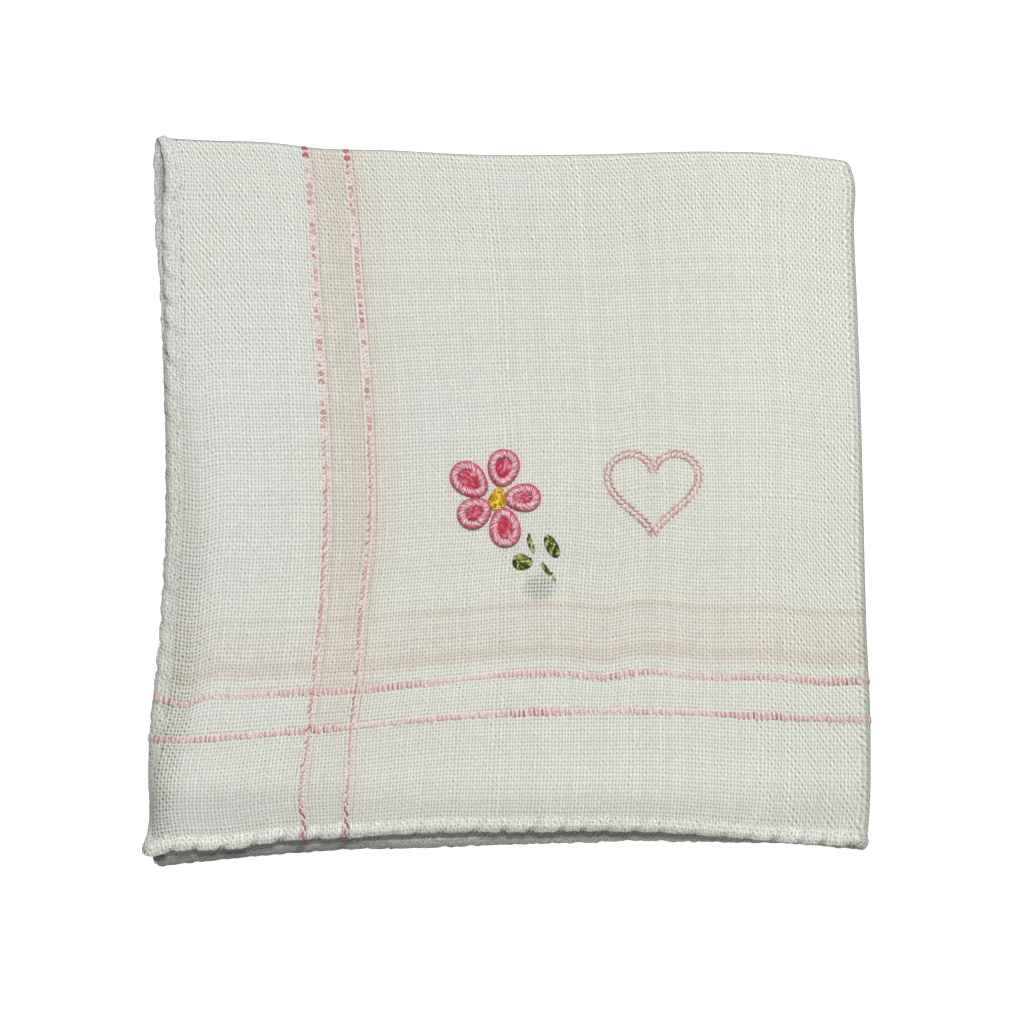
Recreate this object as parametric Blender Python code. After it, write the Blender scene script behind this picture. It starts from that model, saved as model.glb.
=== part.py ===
"""Handkerchief folded in quarters: one hemmed sheet of light cloth, as a closed solid.

Metres, +Z up. The folded cloth lies flat on the XY plane with the middle of its outline at
the origin. The first fold is at the back (+Y) and the second at the right (+X), so the
free hems are at the left (-X) and at the front (-Y). From above, the four layers are the top,
the second, the third and the bottom one. The sheet is a flat slab that is carried round both
folds by formulas, then fitted to the uneven outline of the real cloth.
"""
import bmesh
import bpy
import numpy as np

NAME = "folded_handkerchief"
MM = 0.001

# Cloth: the sheet, its rolled hem and the spacing of the layers, in millimetres
CLOTH_THICKNESS = 1.0
LAYER_PITCH = 1.4
HEM_THICKNESS = 1.6
HEM_WIDTH = 3.4

# Mean places of the folded cloth's four sides, at which the outline's tables are read
LEFT_SIDE = -59.0
RIGHT_SIDE = 61.0
FRONT_SIDE = -58.0
BACK_SIDE = 60.0

# Flat sizes of the sheet, in millimetres from the fold lines to the free edges
FRONT_RUN = 116.5
BACK_SHORTER_BY = 9.0
SIDE_RUN = 119.7

# Height of the stack: it opens towards the thick hems and sinks where the inner layers end
LIFT_AT_HEMS = 0.38
LIFT_RUN = 34.0
LIFT_FULL_WIDTH = 6.0
SINK_AT_FRONT = 0.45
SINK_RUN = 8.5
SWELL_HEIGHT = 0.05
SWELL_LENGTH_X = 76.0
SWELL_LENGTH_Y = 58.0

# The top layer's left hem curls down and under over the other hems, in millimetres
CURL_RADIUS = 2.8
CURL_FROM_X = -57.2

# Outline of the folded cloth from above, in millimetres
# Back fold: x, y
BACK_FOLD = (
    (-59.0, 61.7), (-51.8, 61.3), (-38.2, 60.8), (-31.4, 60.0), (-17.9, 59.6), (-4.3, 58.9),
    (16.0, 58.9), (36.4, 59.4), (50.0, 59.0), (61.0, 57.8),
)
# Right fold: y, x
RIGHT_FOLD = (
    (-58.0, 60.3), (-54.0, 61.5), (-42.0, 62.0), (-21.8, 61.3), (-1.4, 60.8), (18.9, 60.3),
    (35.8, 59.7), (49.4, 59.2), (56.5, 59.3), (60.0, 58.3),
)
# Front hems: x, y of the top layer, y of the bottom layer
FRONT_HEMS = (
    (-59.0, -60.0, -61.7), (-52.0, -59.2, -61.1), (-46.7, -59.2, -60.7), (-36.5, -57.7, -59.5),
    (-28.1, -57.2, -58.9), (-12.0, -56.4, -58.6), (5.8, -56.2, -57.7), (22.8, -56.2, -57.4),
    (36.4, -57.0, -57.5), (45.0, -57.9, -57.9), (61.0, -58.7, -58.7),
)
# Left hems: y, x of the top layer before it curls, x of the second, x of the lower two, curl
LEFT_HEMS = (
    (-58.0, -62.1, -57.6, -60.0, 0.0), (-54.0, -63.2, -57.6, -57.8, 0.8),
    (-46.0, -63.2, -57.5, -57.6, 1.0), (-32.0, -60.1, -57.5, -57.6, 0.8),
    (-18.0, -58.6, -57.4, -57.6, 0.3), (-4.0, -57.7, -57.5, -57.7, 0.0),
    (18.9, -57.8, -57.9, -57.9, 0.0), (35.8, -57.9, -58.9, -58.2, 0.0),
    (49.0, -58.0, -59.8, -58.5, 0.0), (54.0, -57.6, -59.8, -58.5, 0.0),
    (60.0, -58.7, -59.5, -58.8, 0.0),
)

# Steps of the grid, in millimetres from a free edge, then as shares of what is left
HEM_STEPS = (0.0, 0.5, 1.5, 2.6, 3.5, 5.0, 7.0, 9.0, 11.5, 14.5, 18.5, 24.0, 31.0, 40.0)
FIELD_SHARES = (0.2, 0.4, 0.6, 0.8, 0.93, 1.0)
BEND_STEPS = 10

# Share of the hem's extra thickness, by distance from the free edge as a share of its width
HEM_SECTION = ((0.0, 0.15), (0.15, 0.75), (0.44, 1.0), (0.76, 0.7), (1.0, 0.0))


def smooth_line(rows, column, at):
    """Reads a table's column between its rows, on cubic curves that pass through each row."""
    table = np.array(rows)
    place, value = table[:, 0], table[:, column]
    slope = np.gradient(value, place)
    at = np.clip(at, place[0], place[-1])
    left = np.clip(np.searchsorted(place, at) - 1, 0, len(place) - 2)
    span = place[left + 1] - place[left]
    t = (at - place[left]) / span
    rise = value[left + 1] - value[left]
    start, end = slope[left] * span, slope[left + 1] * span
    return value[left] + t * start + t * t * (3 * rise - 2 * start - end) + t ** 3 * (
        start + end - 2 * rise)


def ease(t):
    """Goes from 0 to 1 with level ends, as t goes from 0 to 1."""
    t = np.clip(t, 0.0, 1.0)
    return t * t * (3 - 2 * t)


def turn_stations():
    """Stations of a strip that runs from a free edge to a half turn and back under itself.

    Returns the distance from the free edge in millimetres, the share of the run that lies
    between the last of the hem's steps and the fold, and the angle of turn in radians.
    """
    steps = list(HEM_STEPS) + [HEM_STEPS[-1]] * len(FIELD_SHARES)
    shares = [0.0] * len(HEM_STEPS) + list(FIELD_SHARES)
    bend = [np.pi * i / BEND_STEPS for i in range(1, BEND_STEPS)]
    near = np.array(steps + [HEM_STEPS[-1]] * len(bend) + steps[::-1])
    share = np.array(shares + [1.0] * len(bend) + shares[::-1])
    turn = np.array([0.0] * len(steps) + bend + [np.pi] * len(steps))
    return near, share, turn


def from_edge(near, share, run):
    """Distance from the free edge, for a strip whose run from edge to fold is given."""
    return near + share * (run - HEM_STEPS[-1])


def half_thickness(edge_distance):
    """Half the true thickness of the cloth, thicker in the rolled hem along a free edge."""
    place, share = np.array(HEM_SECTION).T
    extra = np.interp(edge_distance, place * HEM_WIDTH, share, right=0.0)
    return (CLOTH_THICKNESS + extra * (HEM_THICKNESS - CLOTH_THICKNESS)) / 2


def stack_height(x, y):
    """Height of the stack at a place, as a multiple of its plain height.

    The stack stays lifted for a few millimetres beside a hem and eases down from there. At the
    front only the top layer reaches the edge, and it sinks to the bottom one.
    """
    left = 1 - (x - LEFT_SIDE - LIFT_FULL_WIDTH) / LIFT_RUN
    front = 1 - (y - FRONT_SIDE - BACK_SHORTER_BY - LIFT_FULL_WIDTH) / LIFT_RUN
    lift = LIFT_AT_HEMS * (1 - (1 - ease(left)) * (1 - ease(front)))
    sink = SINK_AT_FRONT * ease((SINK_RUN + FRONT_SIDE - y) / SINK_RUN)
    swell = SWELL_HEIGHT * np.sin(2 * np.pi * x / SWELL_LENGTH_X) * np.cos(
        2 * np.pi * y / SWELL_LENGTH_Y)
    return (1 + lift + swell) * (1 - sink)


def fold(column, row, through):
    """Carries the slab's points round the two folds and fits them to the outline.

    The first fold turns the strip along y half round about the back line, the second turns
    the pair of layers half round about the right line. A point at height h over a fold's
    centre goes to h sin(turn) outwards and h cos(turn) up.
    """
    back_share = (1 - np.cos(row["turn"])) / 2
    under_share = (1 - np.cos(column["turn"])) / 2
    row_run = FRONT_RUN - BACK_SHORTER_BY * back_share
    row_edge = from_edge(row["near"], row["share"], row_run)
    column_edge = from_edge(column["near"], column["share"], SIDE_RUN)

    over_back_fold = LAYER_PITCH / 2 + through
    y_flat = row_edge - row_run + over_back_fold * np.sin(row["turn"])
    over_right_fold = LAYER_PITCH + over_back_fold * np.cos(row["turn"])
    x_flat = column_edge - SIDE_RUN + over_right_fold * np.sin(column["turn"])
    height = 1.5 * LAYER_PITCH + over_right_fold * np.cos(column["turn"])

    back_reach = LAYER_PITCH / 2 + CLOTH_THICKNESS / 2
    right_reach = 1.5 * LAYER_PITCH + CLOTH_THICKNESS / 2
    up = (y_flat + row_run) / (row_run + back_reach)
    across = (x_flat + SIDE_RUN) / (SIDE_RUN + right_reach)

    shorter = BACK_SHORTER_BY * back_share
    x_place = LEFT_SIDE * (1 - across) + RIGHT_SIDE * across
    y_place = (FRONT_SIDE + shorter) * (1 - up) + BACK_SIDE * up
    left = smooth_line(LEFT_HEMS, 1, y_place) * (1 - under_share) * (1 - back_share)
    left = left + smooth_line(LEFT_HEMS, 2, y_place) * (1 - under_share) * back_share
    left = left + smooth_line(LEFT_HEMS, 3, y_place) * under_share
    front = smooth_line(FRONT_HEMS, 1, x_place) * (1 - under_share)
    front = front + smooth_line(FRONT_HEMS, 2, x_place) * under_share + shorter
    x = left * (1 - across) + smooth_line(RIGHT_FOLD, 1, y_place) * across
    y = front * (1 - up) + smooth_line(BACK_FOLD, 1, x_place) * up
    curl = smooth_line(LEFT_HEMS, 4, y_place) * (1 - under_share) * (1 - back_share)
    return x, y, height, np.minimum(row_edge, column_edge), curl


def curl_under(x, z, middle_z, curl):
    """Bends what lies left of the curl's start round a rod below the layer's middle surface.

    A point at distance d past the start and at radius r from the rod goes r sin(d / rod's
    radius) outwards and r cos(d / rod's radius) up. The curl's share mixes this with the flat.
    """
    angle = np.maximum(CURL_FROM_X - x, 0.0) / CURL_RADIUS
    rod_z = middle_z - CURL_RADIUS
    radius = z - rod_z
    bent_x = CURL_FROM_X - radius * np.sin(angle)
    bent_z = rod_z + radius * np.cos(angle)
    share = np.where(angle > 0.0, curl, 0.0)
    return x + share * (bent_x - x), z + share * (bent_z - z)


def folded_points(column, row, side):
    """Points of the folded cloth: side is -1 on the face folded in, +1 on the outer face."""
    x, y, height, edge_distance, curl = fold(column, row, 0.0)
    tall = stack_height(x, y)
    middle_z = CLOTH_THICKNESS / 2 + tall * height
    level = (np.cos(column["turn"]) * np.cos(row["turn"])) ** 2
    field = CLOTH_THICKNESS / 2 / (1 + (tall - 1) * level)
    through = np.maximum(field, half_thickness(edge_distance) / tall)
    x, y, height, _, _ = fold(column, row, side * through)
    z = CLOTH_THICKNESS / 2 + stack_height(x, y) * height
    x, z = curl_under(x, z, middle_z, curl)
    return np.stack([x, y, np.maximum(z, 0.0)], axis=1)


def cloth_material():
    """White semi-sheer cotton, a little warm, with no shine."""
    material = bpy.data.materials.new("white_cotton")
    material.use_nodes = True
    surface = material.node_tree.nodes["Principled BSDF"]
    surface.inputs["Base Color"].default_value = (0.66, 0.66, 0.61, 1.0)
    surface.inputs["Roughness"].default_value = 0.9
    surface.inputs["Metallic"].default_value = 0.0
    return material


def flat_slab(segments):
    """A closed flat slab of square cells: a grid with its copy one unit above it."""
    slab = bmesh.new()
    bmesh.ops.create_grid(slab, x_segments=segments, y_segments=segments, size=segments / 2)
    raised = bmesh.ops.extrude_face_region(slab, geom=slab.faces[:], use_keep_orig=True)
    corners = [part for part in raised["geom"] if isinstance(part, bmesh.types.BMVert)]
    bmesh.ops.translate(slab, verts=corners, vec=(0.0, 0.0, 1.0))
    bmesh.ops.recalc_face_normals(slab, faces=slab.faces[:])
    mesh = bpy.data.meshes.new(NAME)
    slab.to_mesh(mesh)
    slab.free()
    return mesh


def build_handkerchief(collection):
    """Makes the slab, folds it, and adds it to the collection."""
    near, share, turn = turn_stations()
    segments = len(turn) - 1
    mesh = flat_slab(segments)
    cells = np.empty(len(mesh.vertices) * 3)
    mesh.vertices.foreach_get("co", cells)
    cells = cells.reshape(-1, 3)
    index = np.rint(cells[:, :2] + segments / 2).astype(int)
    column, row = (
        {"near": near[i], "share": share[i], "turn": turn[i]} for i in index.T)
    points = folded_points(column, row, np.where(cells[:, 2] > 0.5, 1.0, -1.0))
    mesh.vertices.foreach_set("co", (points * MM).ravel())
    mesh.update()
    mesh.shade_smooth()
    mesh.materials.append(cloth_material())
    handkerchief = bpy.data.objects.new(NAME, mesh)
    collection.objects.link(handkerchief)
    return handkerchief


def main():
    for thing in list(bpy.data.objects):
        bpy.data.objects.remove(thing, do_unlink=True)
    collection = bpy.data.collections.new("handkerchief")
    bpy.context.scene.collection.children.link(collection)
    build_handkerchief(collection)


main()
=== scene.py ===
# %% [markdown]
# A handkerchief folded in quarters
#
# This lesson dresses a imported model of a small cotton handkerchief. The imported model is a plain
# closed sheet with the true folds. Here it gets thin woven cloth, a rolled and whip-stitched
# hem, stitched pink lines, and a small embroidered flower. Everything is in one frame: metres, with
# the cloth lying flat on Z = 0, its folds at +X and +Y, and its free hems at -X and -Y.

import bpy
import numpy as np
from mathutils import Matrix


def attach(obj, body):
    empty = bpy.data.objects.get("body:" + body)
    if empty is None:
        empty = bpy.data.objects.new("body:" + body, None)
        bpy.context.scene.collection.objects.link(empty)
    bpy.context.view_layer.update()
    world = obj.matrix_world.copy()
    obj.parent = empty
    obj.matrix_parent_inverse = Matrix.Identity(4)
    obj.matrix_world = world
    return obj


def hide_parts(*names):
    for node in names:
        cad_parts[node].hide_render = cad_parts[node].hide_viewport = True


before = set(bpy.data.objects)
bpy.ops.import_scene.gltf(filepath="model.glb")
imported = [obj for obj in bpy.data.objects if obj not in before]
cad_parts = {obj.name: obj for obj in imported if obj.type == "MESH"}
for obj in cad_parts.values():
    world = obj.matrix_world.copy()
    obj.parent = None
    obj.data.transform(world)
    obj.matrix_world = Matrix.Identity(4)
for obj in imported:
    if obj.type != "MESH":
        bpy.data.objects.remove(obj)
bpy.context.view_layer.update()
MM = 0.001
CLOTH_NODE = "folded_handkerchief"

# %% [markdown]
# The size of the real cloth
#
# The sheet is about 243 by 226 mm flat. It is folded in half once at the back, which leaves the
# lower half nine millimetres short at the front, and then in half again at the right. These are
# the same sizes as the solid's, in millimetres, so that the thin cloth lies where the solid is.
# The tables hold the uneven outline seen from above.

# %% Sizes and outline of the folded cloth, in millimetres
LAYER_PITCH = 1.4
FLOOR_GAP = 0.02
SOLID_THICKNESS = 1.0
SHEET_THICKNESS = 0.44
FRONT_RUN = 116.5
BACK_SHORTER_BY = 9.0
SIDE_RUN = 119.7
BACK_BEND = 2.4
SIDE_BEND = 4.0
CLOTH_WIDTH = 2 * SIDE_RUN + SIDE_BEND
CLOTH_LENGTH = 2 * FRONT_RUN - BACK_SHORTER_BY + BACK_BEND
LEFT_SIDE, RIGHT_SIDE, FRONT_SIDE, BACK_SIDE = -59.0, 61.0, -58.0, 60.0
CREASE_PLACE = 14.0

BACK_FOLD = (
    (-59.0, 61.7), (-51.8, 61.3), (-38.2, 60.8), (-31.4, 60.0), (-17.9, 59.6), (-4.3, 58.9),
    (16.0, 58.9), (36.4, 59.4), (50.0, 59.0), (61.0, 57.8),
)
RIGHT_FOLD = (
    (-58.0, 61.2), (-54.0, 61.7), (-42.0, 62.0), (-21.8, 61.3), (-1.4, 60.8), (18.9, 60.3),
    (35.8, 59.7), (49.4, 59.2), (56.5, 59.3), (60.0, 58.3),
)
FRONT_HEMS = (
    (-59.0, -60.5, -62.4), (-52.0, -59.2, -61.6), (-46.7, -59.2, -61.0), (-36.5, -57.7, -60.1),
    (-28.1, -57.2, -59.5), (-12.0, -56.4, -59.0), (5.8, -56.2, -58.4), (22.8, -56.2, -57.9),
    (36.4, -57.0, -58.1), (45.0, -57.9, -58.2), (61.0, -58.9, -59.4),
)
LEFT_HEMS = (
    (-58.0, -62.1, -57.6, -60.9, 0.0), (-54.0, -63.2, -57.6, -58.9, 0.8),
    (-46.0, -63.2, -57.5, -57.6, 1.0), (-32.0, -60.1, -57.5, -57.6, 0.8),
    (-18.0, -58.6, -57.4, -57.6, 0.3), (-4.0, -57.7, -57.5, -57.7, 0.0),
    (18.9, -57.8, -57.9, -57.9, 0.0), (35.8, -57.9, -58.7, -58.2, 0.0),
    (49.0, -58.0, -59.5, -58.5, 0.0), (54.0, -57.6, -59.5, -58.5, 0.0),
    (60.0, -58.7, -59.4, -58.8, 0.0),
)
print(f"flat cloth {CLOTH_WIDTH:.1f} x {CLOTH_LENGTH:.1f} mm")

# %% [markdown]
# Where the stitched lines bow
#
# Two pairs of pink lines run along the cloth's sides. They follow its threads, so where they bow,
# the whole weave bows. Each line has a fixed place in the flat cloth, and a table of the places
# that it passes when the cloth is folded. Further on, the folded cloth is pulled sideways until
# each line passes through its table.

# %% Places of the stitched lines
SIDE_LINES = (26.1, 33.5)
FRONT_LINES = (19.7, 26.4)
SIDE_LINE_BOWS = (
    ((-58.2, -34.5), (-54.3, -34.2), (-50.6, -34.7), (-46.9, -34.4), (-40.4, -33.5),
     (-32.0, -32.6), (-16.7, -31.1), (3.6, -30.3), (13.8, -30.8), (34.2, -32.1), (51.1, -33.1),
     (60.1, -34.0)),
    ((-57.4, -27.2), (-46.9, -26.5), (-37.5, -26.0), (-32.0, -25.3), (-16.7, -24.3),
     (-4.8, -23.0), (3.6, -22.8), (24.0, -23.8), (40.9, -25.2), (49.4, -26.0), (59.8, -27.0)),
)
FRONT_LINE_BOWS = (
    ((-59.9, -39.9), (-51.8, -40.4), (-45.0, -39.9), (-34.8, -38.9), (-24.7, -38.1),
     (-11.1, -36.7), (5.9, -35.7), (22.8, -35.5), (39.8, -36.2), (49.9, -36.7), (61.8, -37.0)),
    ((-59.4, -32.6), (-55.2, -34.2), (-53.0, -34.3), (-51.2, -33.3), (-44.0, -32.8),
     (-34.8, -32.3), (-24.7, -31.9), (-12.8, -30.6), (9.2, -29.2), (16.0, -29.9),
     (22.0, -28.9), (33.0, -29.8), (44.8, -29.8), (53.3, -30.6), (61.4, -30.3)),
)
print("side lines at", SIDE_LINES, "front lines at", FRONT_LINES, "mm from their hems")

# %% [markdown]
# Reading a table smoothly
#
# A row of measured points becomes a curve when it is read with cubic pieces that share their
# slope at each point. The same helper reads the outline, the bows and how far the hem curls.


# %% Smooth reading and easing
def smooth_line(rows, column, at):
    """Reads a table's column between its rows, on cubic curves that pass through each row."""
    table = np.array(rows)
    place, value = table[:, 0], table[:, column]
    slope = np.gradient(value, place)
    at = np.clip(at, place[0], place[-1])
    left = np.clip(np.searchsorted(place, at) - 1, 0, len(place) - 2)
    span = place[left + 1] - place[left]
    t = (at - place[left]) / span
    rise = value[left + 1] - value[left]
    start, end = slope[left] * span, slope[left + 1] * span
    return value[left] + t * start + t * t * (3 * rise - 2 * start - end) + t ** 3 * (
        start + end - 2 * rise)


def ease(t):
    """Goes from 0 to 1 with level ends, as t goes from 0 to 1: 3 t squared less 2 t cubed."""
    t = np.clip(t, 0.0, 1.0)
    return t * t * (3 - 2 * t)


def unit(vectors):
    """Each vector divided by its own length."""
    return vectors / np.linalg.norm(vectors, axis=-1, keepdims=True)


print("back fold above x = 0:", round(float(smooth_line(BACK_FOLD, 1, 0.0)), 2), "mm")

# %% [markdown]
# Folding the flat cloth by formula
#
# A real cloth is folded by hand and could be simulated, but a formula gives the same folds each
# time and lets every stitch be placed in flat cloth sizes. A point of the flat cloth has two
# places, u from the left hem and v from the front hem, and a height over the sheet's middle. The
# fold turns it half round about the back line, then half round about the right line. The result
# is fitted to the outline tables, and the stack opens a little towards its thick hems.


# %% Height of the stack, and the curled left hem
HEM_LIFT, HEM_LIFT_RUN = 0.38, 34.0
FRONT_SINK, FRONT_SINK_RUN = 0.45, 11.0
CURL_START, CURL_ROD = -57.2, 2.8


def stack_height(x, y):
    """Height of the stack as a multiple of its plain height.

    It eases up beside the hems, sinks at the front where only two layers reach the edge, and
    has slow waves: products of sines and cosines of x and y. One faint ridge, a bell curve
    across x, is left of an old crease.
    """
    left = 1 - (x - LEFT_SIDE - 6.0) / HEM_LIFT_RUN
    front = 1 - (y - FRONT_SIDE - BACK_SHORTER_BY - 6.0) / HEM_LIFT_RUN
    lift = HEM_LIFT * (1 - (1 - ease(left)) * (1 - ease(front)))
    sink = FRONT_SINK * ease((FRONT_SINK_RUN + FRONT_SIDE - y) / FRONT_SINK_RUN)
    swell = 0.05 * np.sin(2 * np.pi * x / 76.0) * np.cos(2 * np.pi * y / 58.0)
    slow = 0.022 * np.sin(x / 5.1 + 0.7 * np.sin(y / 17.0)) * np.cos(y / 9.0 + 0.5)
    slow = slow + 0.016 * np.sin(y / 3.7 + np.sin(x / 13.0)) * np.cos(x / 15.0)
    ridge = 0.02 * np.exp(-((x - CREASE_PLACE) / 1.3) ** 2) * ease((y + 6.0) / 14.0)
    return (1 + lift + swell + slow + ridge) * (1 - sink)


def curl_under(x, z, middle_z, curl):
    """Bends what lies left of a line round a rod: r sin(d / R) outwards and r cos(d / R) up."""
    angle = np.maximum(CURL_START - x, 0.0) / CURL_ROD
    rod_z = middle_z - CURL_ROD
    radius = z - rod_z
    share = np.where(angle > 0.0, curl, 0.0)
    bent_x = CURL_START - radius * np.sin(angle)
    bent_z = rod_z + radius * np.cos(angle)
    return x + share * (bent_x - x), z + share * (bent_z - z)


print("stack at the middle:", round(float(stack_height(0.0, 0.0)), 3), "of its plain height")


# %% The fold itself
def pull(lines, bows, share, length, reach, ends, at):
    """How far each place moves so that the stitched lines pass through their tables.

    At each line it is the table's value less the straight share between the two ends. Between
    the lines, and from them to the sheet's edges, it changes in proportion to the distance.
    """
    places = [(line + reach) / (length + reach) if reach < 0 else line / (length + reach)
              for line in lines]
    moved = 0.0
    for number, (place, bow) in enumerate(zip(places, bows)):
        straight = ends[0] * (1 - place) + ends[1] * place
        tent = np.interp(share, [0.0] + places + [1.0], np.eye(4)[number + 1])
        moved = moved + tent * (smooth_line(bow, 1, at) - straight)
    return moved


def folded_place(u, v, through):
    """Carries flat places round the two folds and fits them to the outline.

    Over a fold's centre a height h goes to h sin(turn) outwards and h cos(turn) up.
    """
    turn_u = np.pi * np.clip((u - SIDE_RUN) / SIDE_BEND, 0.0, 1.0)
    turn_v = np.pi * np.clip((v - FRONT_RUN) / BACK_BEND, 0.0, 1.0)
    under, back = (1 - np.cos(turn_u)) / 2, (1 - np.cos(turn_v)) / 2
    row_run = FRONT_RUN - BACK_SHORTER_BY * back
    edge_u = np.minimum(np.minimum(u, CLOTH_WIDTH - u), SIDE_RUN)
    edge_v = np.where(turn_v <= 0.0, v, np.where(turn_v >= np.pi, CLOTH_LENGTH - v, row_run))

    over_back = LAYER_PITCH / 2 + through
    y_flat = edge_v - row_run + over_back * np.sin(turn_v)
    over_right = LAYER_PITCH + over_back * np.cos(turn_v)
    x_flat = edge_u - SIDE_RUN + over_right * np.sin(turn_u)
    height = 1.5 * LAYER_PITCH + over_right * np.cos(turn_u)
    back_reach = LAYER_PITCH / 2 + SHEET_THICKNESS / 2
    right_reach = 1.5 * LAYER_PITCH + SHEET_THICKNESS / 2
    up = (y_flat + row_run) / (row_run + back_reach)
    across = (x_flat + SIDE_RUN) / (SIDE_RUN + right_reach)

    shorter = BACK_SHORTER_BY * back
    x_at = LEFT_SIDE * (1 - across) + RIGHT_SIDE * across
    y_at = (FRONT_SIDE + shorter) * (1 - up) + BACK_SIDE * up
    top_left = smooth_line(LEFT_HEMS, 1, y_at)
    left = top_left * (1 - under) * (1 - back) + smooth_line(LEFT_HEMS, 3, y_at) * under
    left = left + smooth_line(LEFT_HEMS, 2, y_at) * (1 - under) * back
    right = smooth_line(RIGHT_FOLD, 1, y_at)
    top_front = smooth_line(FRONT_HEMS, 1, x_at)
    front = top_front * (1 - under) + smooth_line(FRONT_HEMS, 2, x_at) * under + shorter
    rear = smooth_line(BACK_FOLD, 1, x_at)
    x = left * (1 - across) + right * across
    y = front * (1 - up) + rear * up
    x = x + pull(SIDE_LINES, SIDE_LINE_BOWS, across, SIDE_RUN, right_reach, (top_left, right),
                 y_at)
    y = y + (1 - back) * pull(FRONT_LINES, FRONT_LINE_BOWS, up, FRONT_RUN, back_reach,
                              (top_front, rear), x_at)
    curl = smooth_line(LEFT_HEMS, 4, y_at) * (1 - under) * (1 - back)
    level = (np.cos(turn_u) * np.cos(turn_v)) ** 2
    return x, y, height, curl, level


def cloth_point(u, v, out):
    """The folded place of flat places u and v, at a height out over the sheet's middle."""
    u, v, out = np.broadcast_arrays(*(np.asarray(each, float) for each in (u, v, out)))
    x, y, height, curl, level = folded_place(u, v, np.zeros_like(out))
    tall = stack_height(x, y)
    middle_z = SOLID_THICKNESS / 2 + tall * height
    x, y, height, _, _ = folded_place(u, v, out / (1 + (tall - 1) * level))
    z = SOLID_THICKNESS / 2 + stack_height(x, y) * height
    x, z = curl_under(x, z, middle_z, curl)
    return np.stack([x, y, np.maximum(z, FLOOR_GAP)], axis=-1)


def outward(u, v):
    """Direction out of the sheet's outer face: the way a point moves as its height grows."""
    return unit(cloth_point(u, v, 0.1) - cloth_point(u, v, -0.1))


print("middle of the top layer:", cloth_point(60.0, 58.0, 0.2).round(2), "mm")

# %% [markdown]
# Putting whole arrays into a mesh
#
# Every piece here is one array of points and one of faces. Cloth is a grid, and thread is a grid
# too: a ring of points carried along a path. foreach_set copies the arrays into Blender at once.


# %% Helpers that turn arrays into a piece
def grid_quads(rows, columns, close_rows=False, close_columns=False):
    """Corner numbers of a grid's cells; a closed direction joins its last line to its first."""
    i = np.arange(rows if close_rows else rows - 1)[:, None]
    j = np.arange(columns if close_columns else columns - 1)[None, :]
    next_i, next_j = (i + 1) % rows, (j + 1) % columns
    cells = [i * columns + j, next_i * columns + j, next_i * columns + next_j,
             i * columns + next_j]
    return np.stack(cells, axis=-1).reshape(-1, 4)


def join_parts(parts):
    """Joins parts, each of points, quads, triangles and two values a point, into one."""
    starts = np.cumsum([0] + [len(part[0]) for part in parts[:-1]])
    points = np.concatenate([part[0] for part in parts])
    quads = np.concatenate([part[1] + start for part, start in zip(parts, starts)])
    triangles = np.concatenate([part[2] + start for part, start in zip(parts, starts)])
    return points, quads, triangles, np.concatenate([part[3] for part in parts])


def make_piece(name, part, material):
    """Makes a smooth mesh object of a part, with its two values as point attributes.

    Points that would go into the floor, such as those of a stitch under the hem, lie on it.
    """
    points, quads, triangles, values = part
    points = np.maximum(points, (-np.inf, -np.inf, FLOOR_GAP))
    mesh = bpy.data.meshes.new(name)
    mesh.vertices.add(len(points))
    mesh.vertices.foreach_set("co", (points * MM).ravel())
    corners = np.concatenate([quads.ravel(), triangles.ravel()])
    sizes = np.concatenate([np.full(len(quads), 4), np.full(len(triangles), 3)])
    mesh.loops.add(len(corners))
    mesh.loops.foreach_set("vertex_index", corners)
    mesh.polygons.add(len(sizes))
    mesh.polygons.foreach_set("loop_start", np.cumsum(sizes) - sizes)
    mesh.update(calc_edges=True)
    for number, label in enumerate(("tint", "crest")):
        mesh.attributes.new(label, "FLOAT", "POINT").data.foreach_set(
            "value", values[:, number].astype(np.float32))
    mesh.shade_smooth()
    mesh.materials.append(material)
    piece = bpy.data.objects.new(name, mesh)
    bpy.context.scene.collection.objects.link(piece)
    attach(piece, "root")
    print(f"{name}: {2 * len(quads) + len(triangles)} triangles")
    return piece


NO_TRIANGLES = np.zeros((0, 3), int)
print("cells of a 3 by 3 grid:", len(grid_quads(3, 3)))


# %% Thread: a ring of points carried along many paths at once
STRAIGHT_UP = np.array([0.0, 0.0, 1.0])


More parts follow.
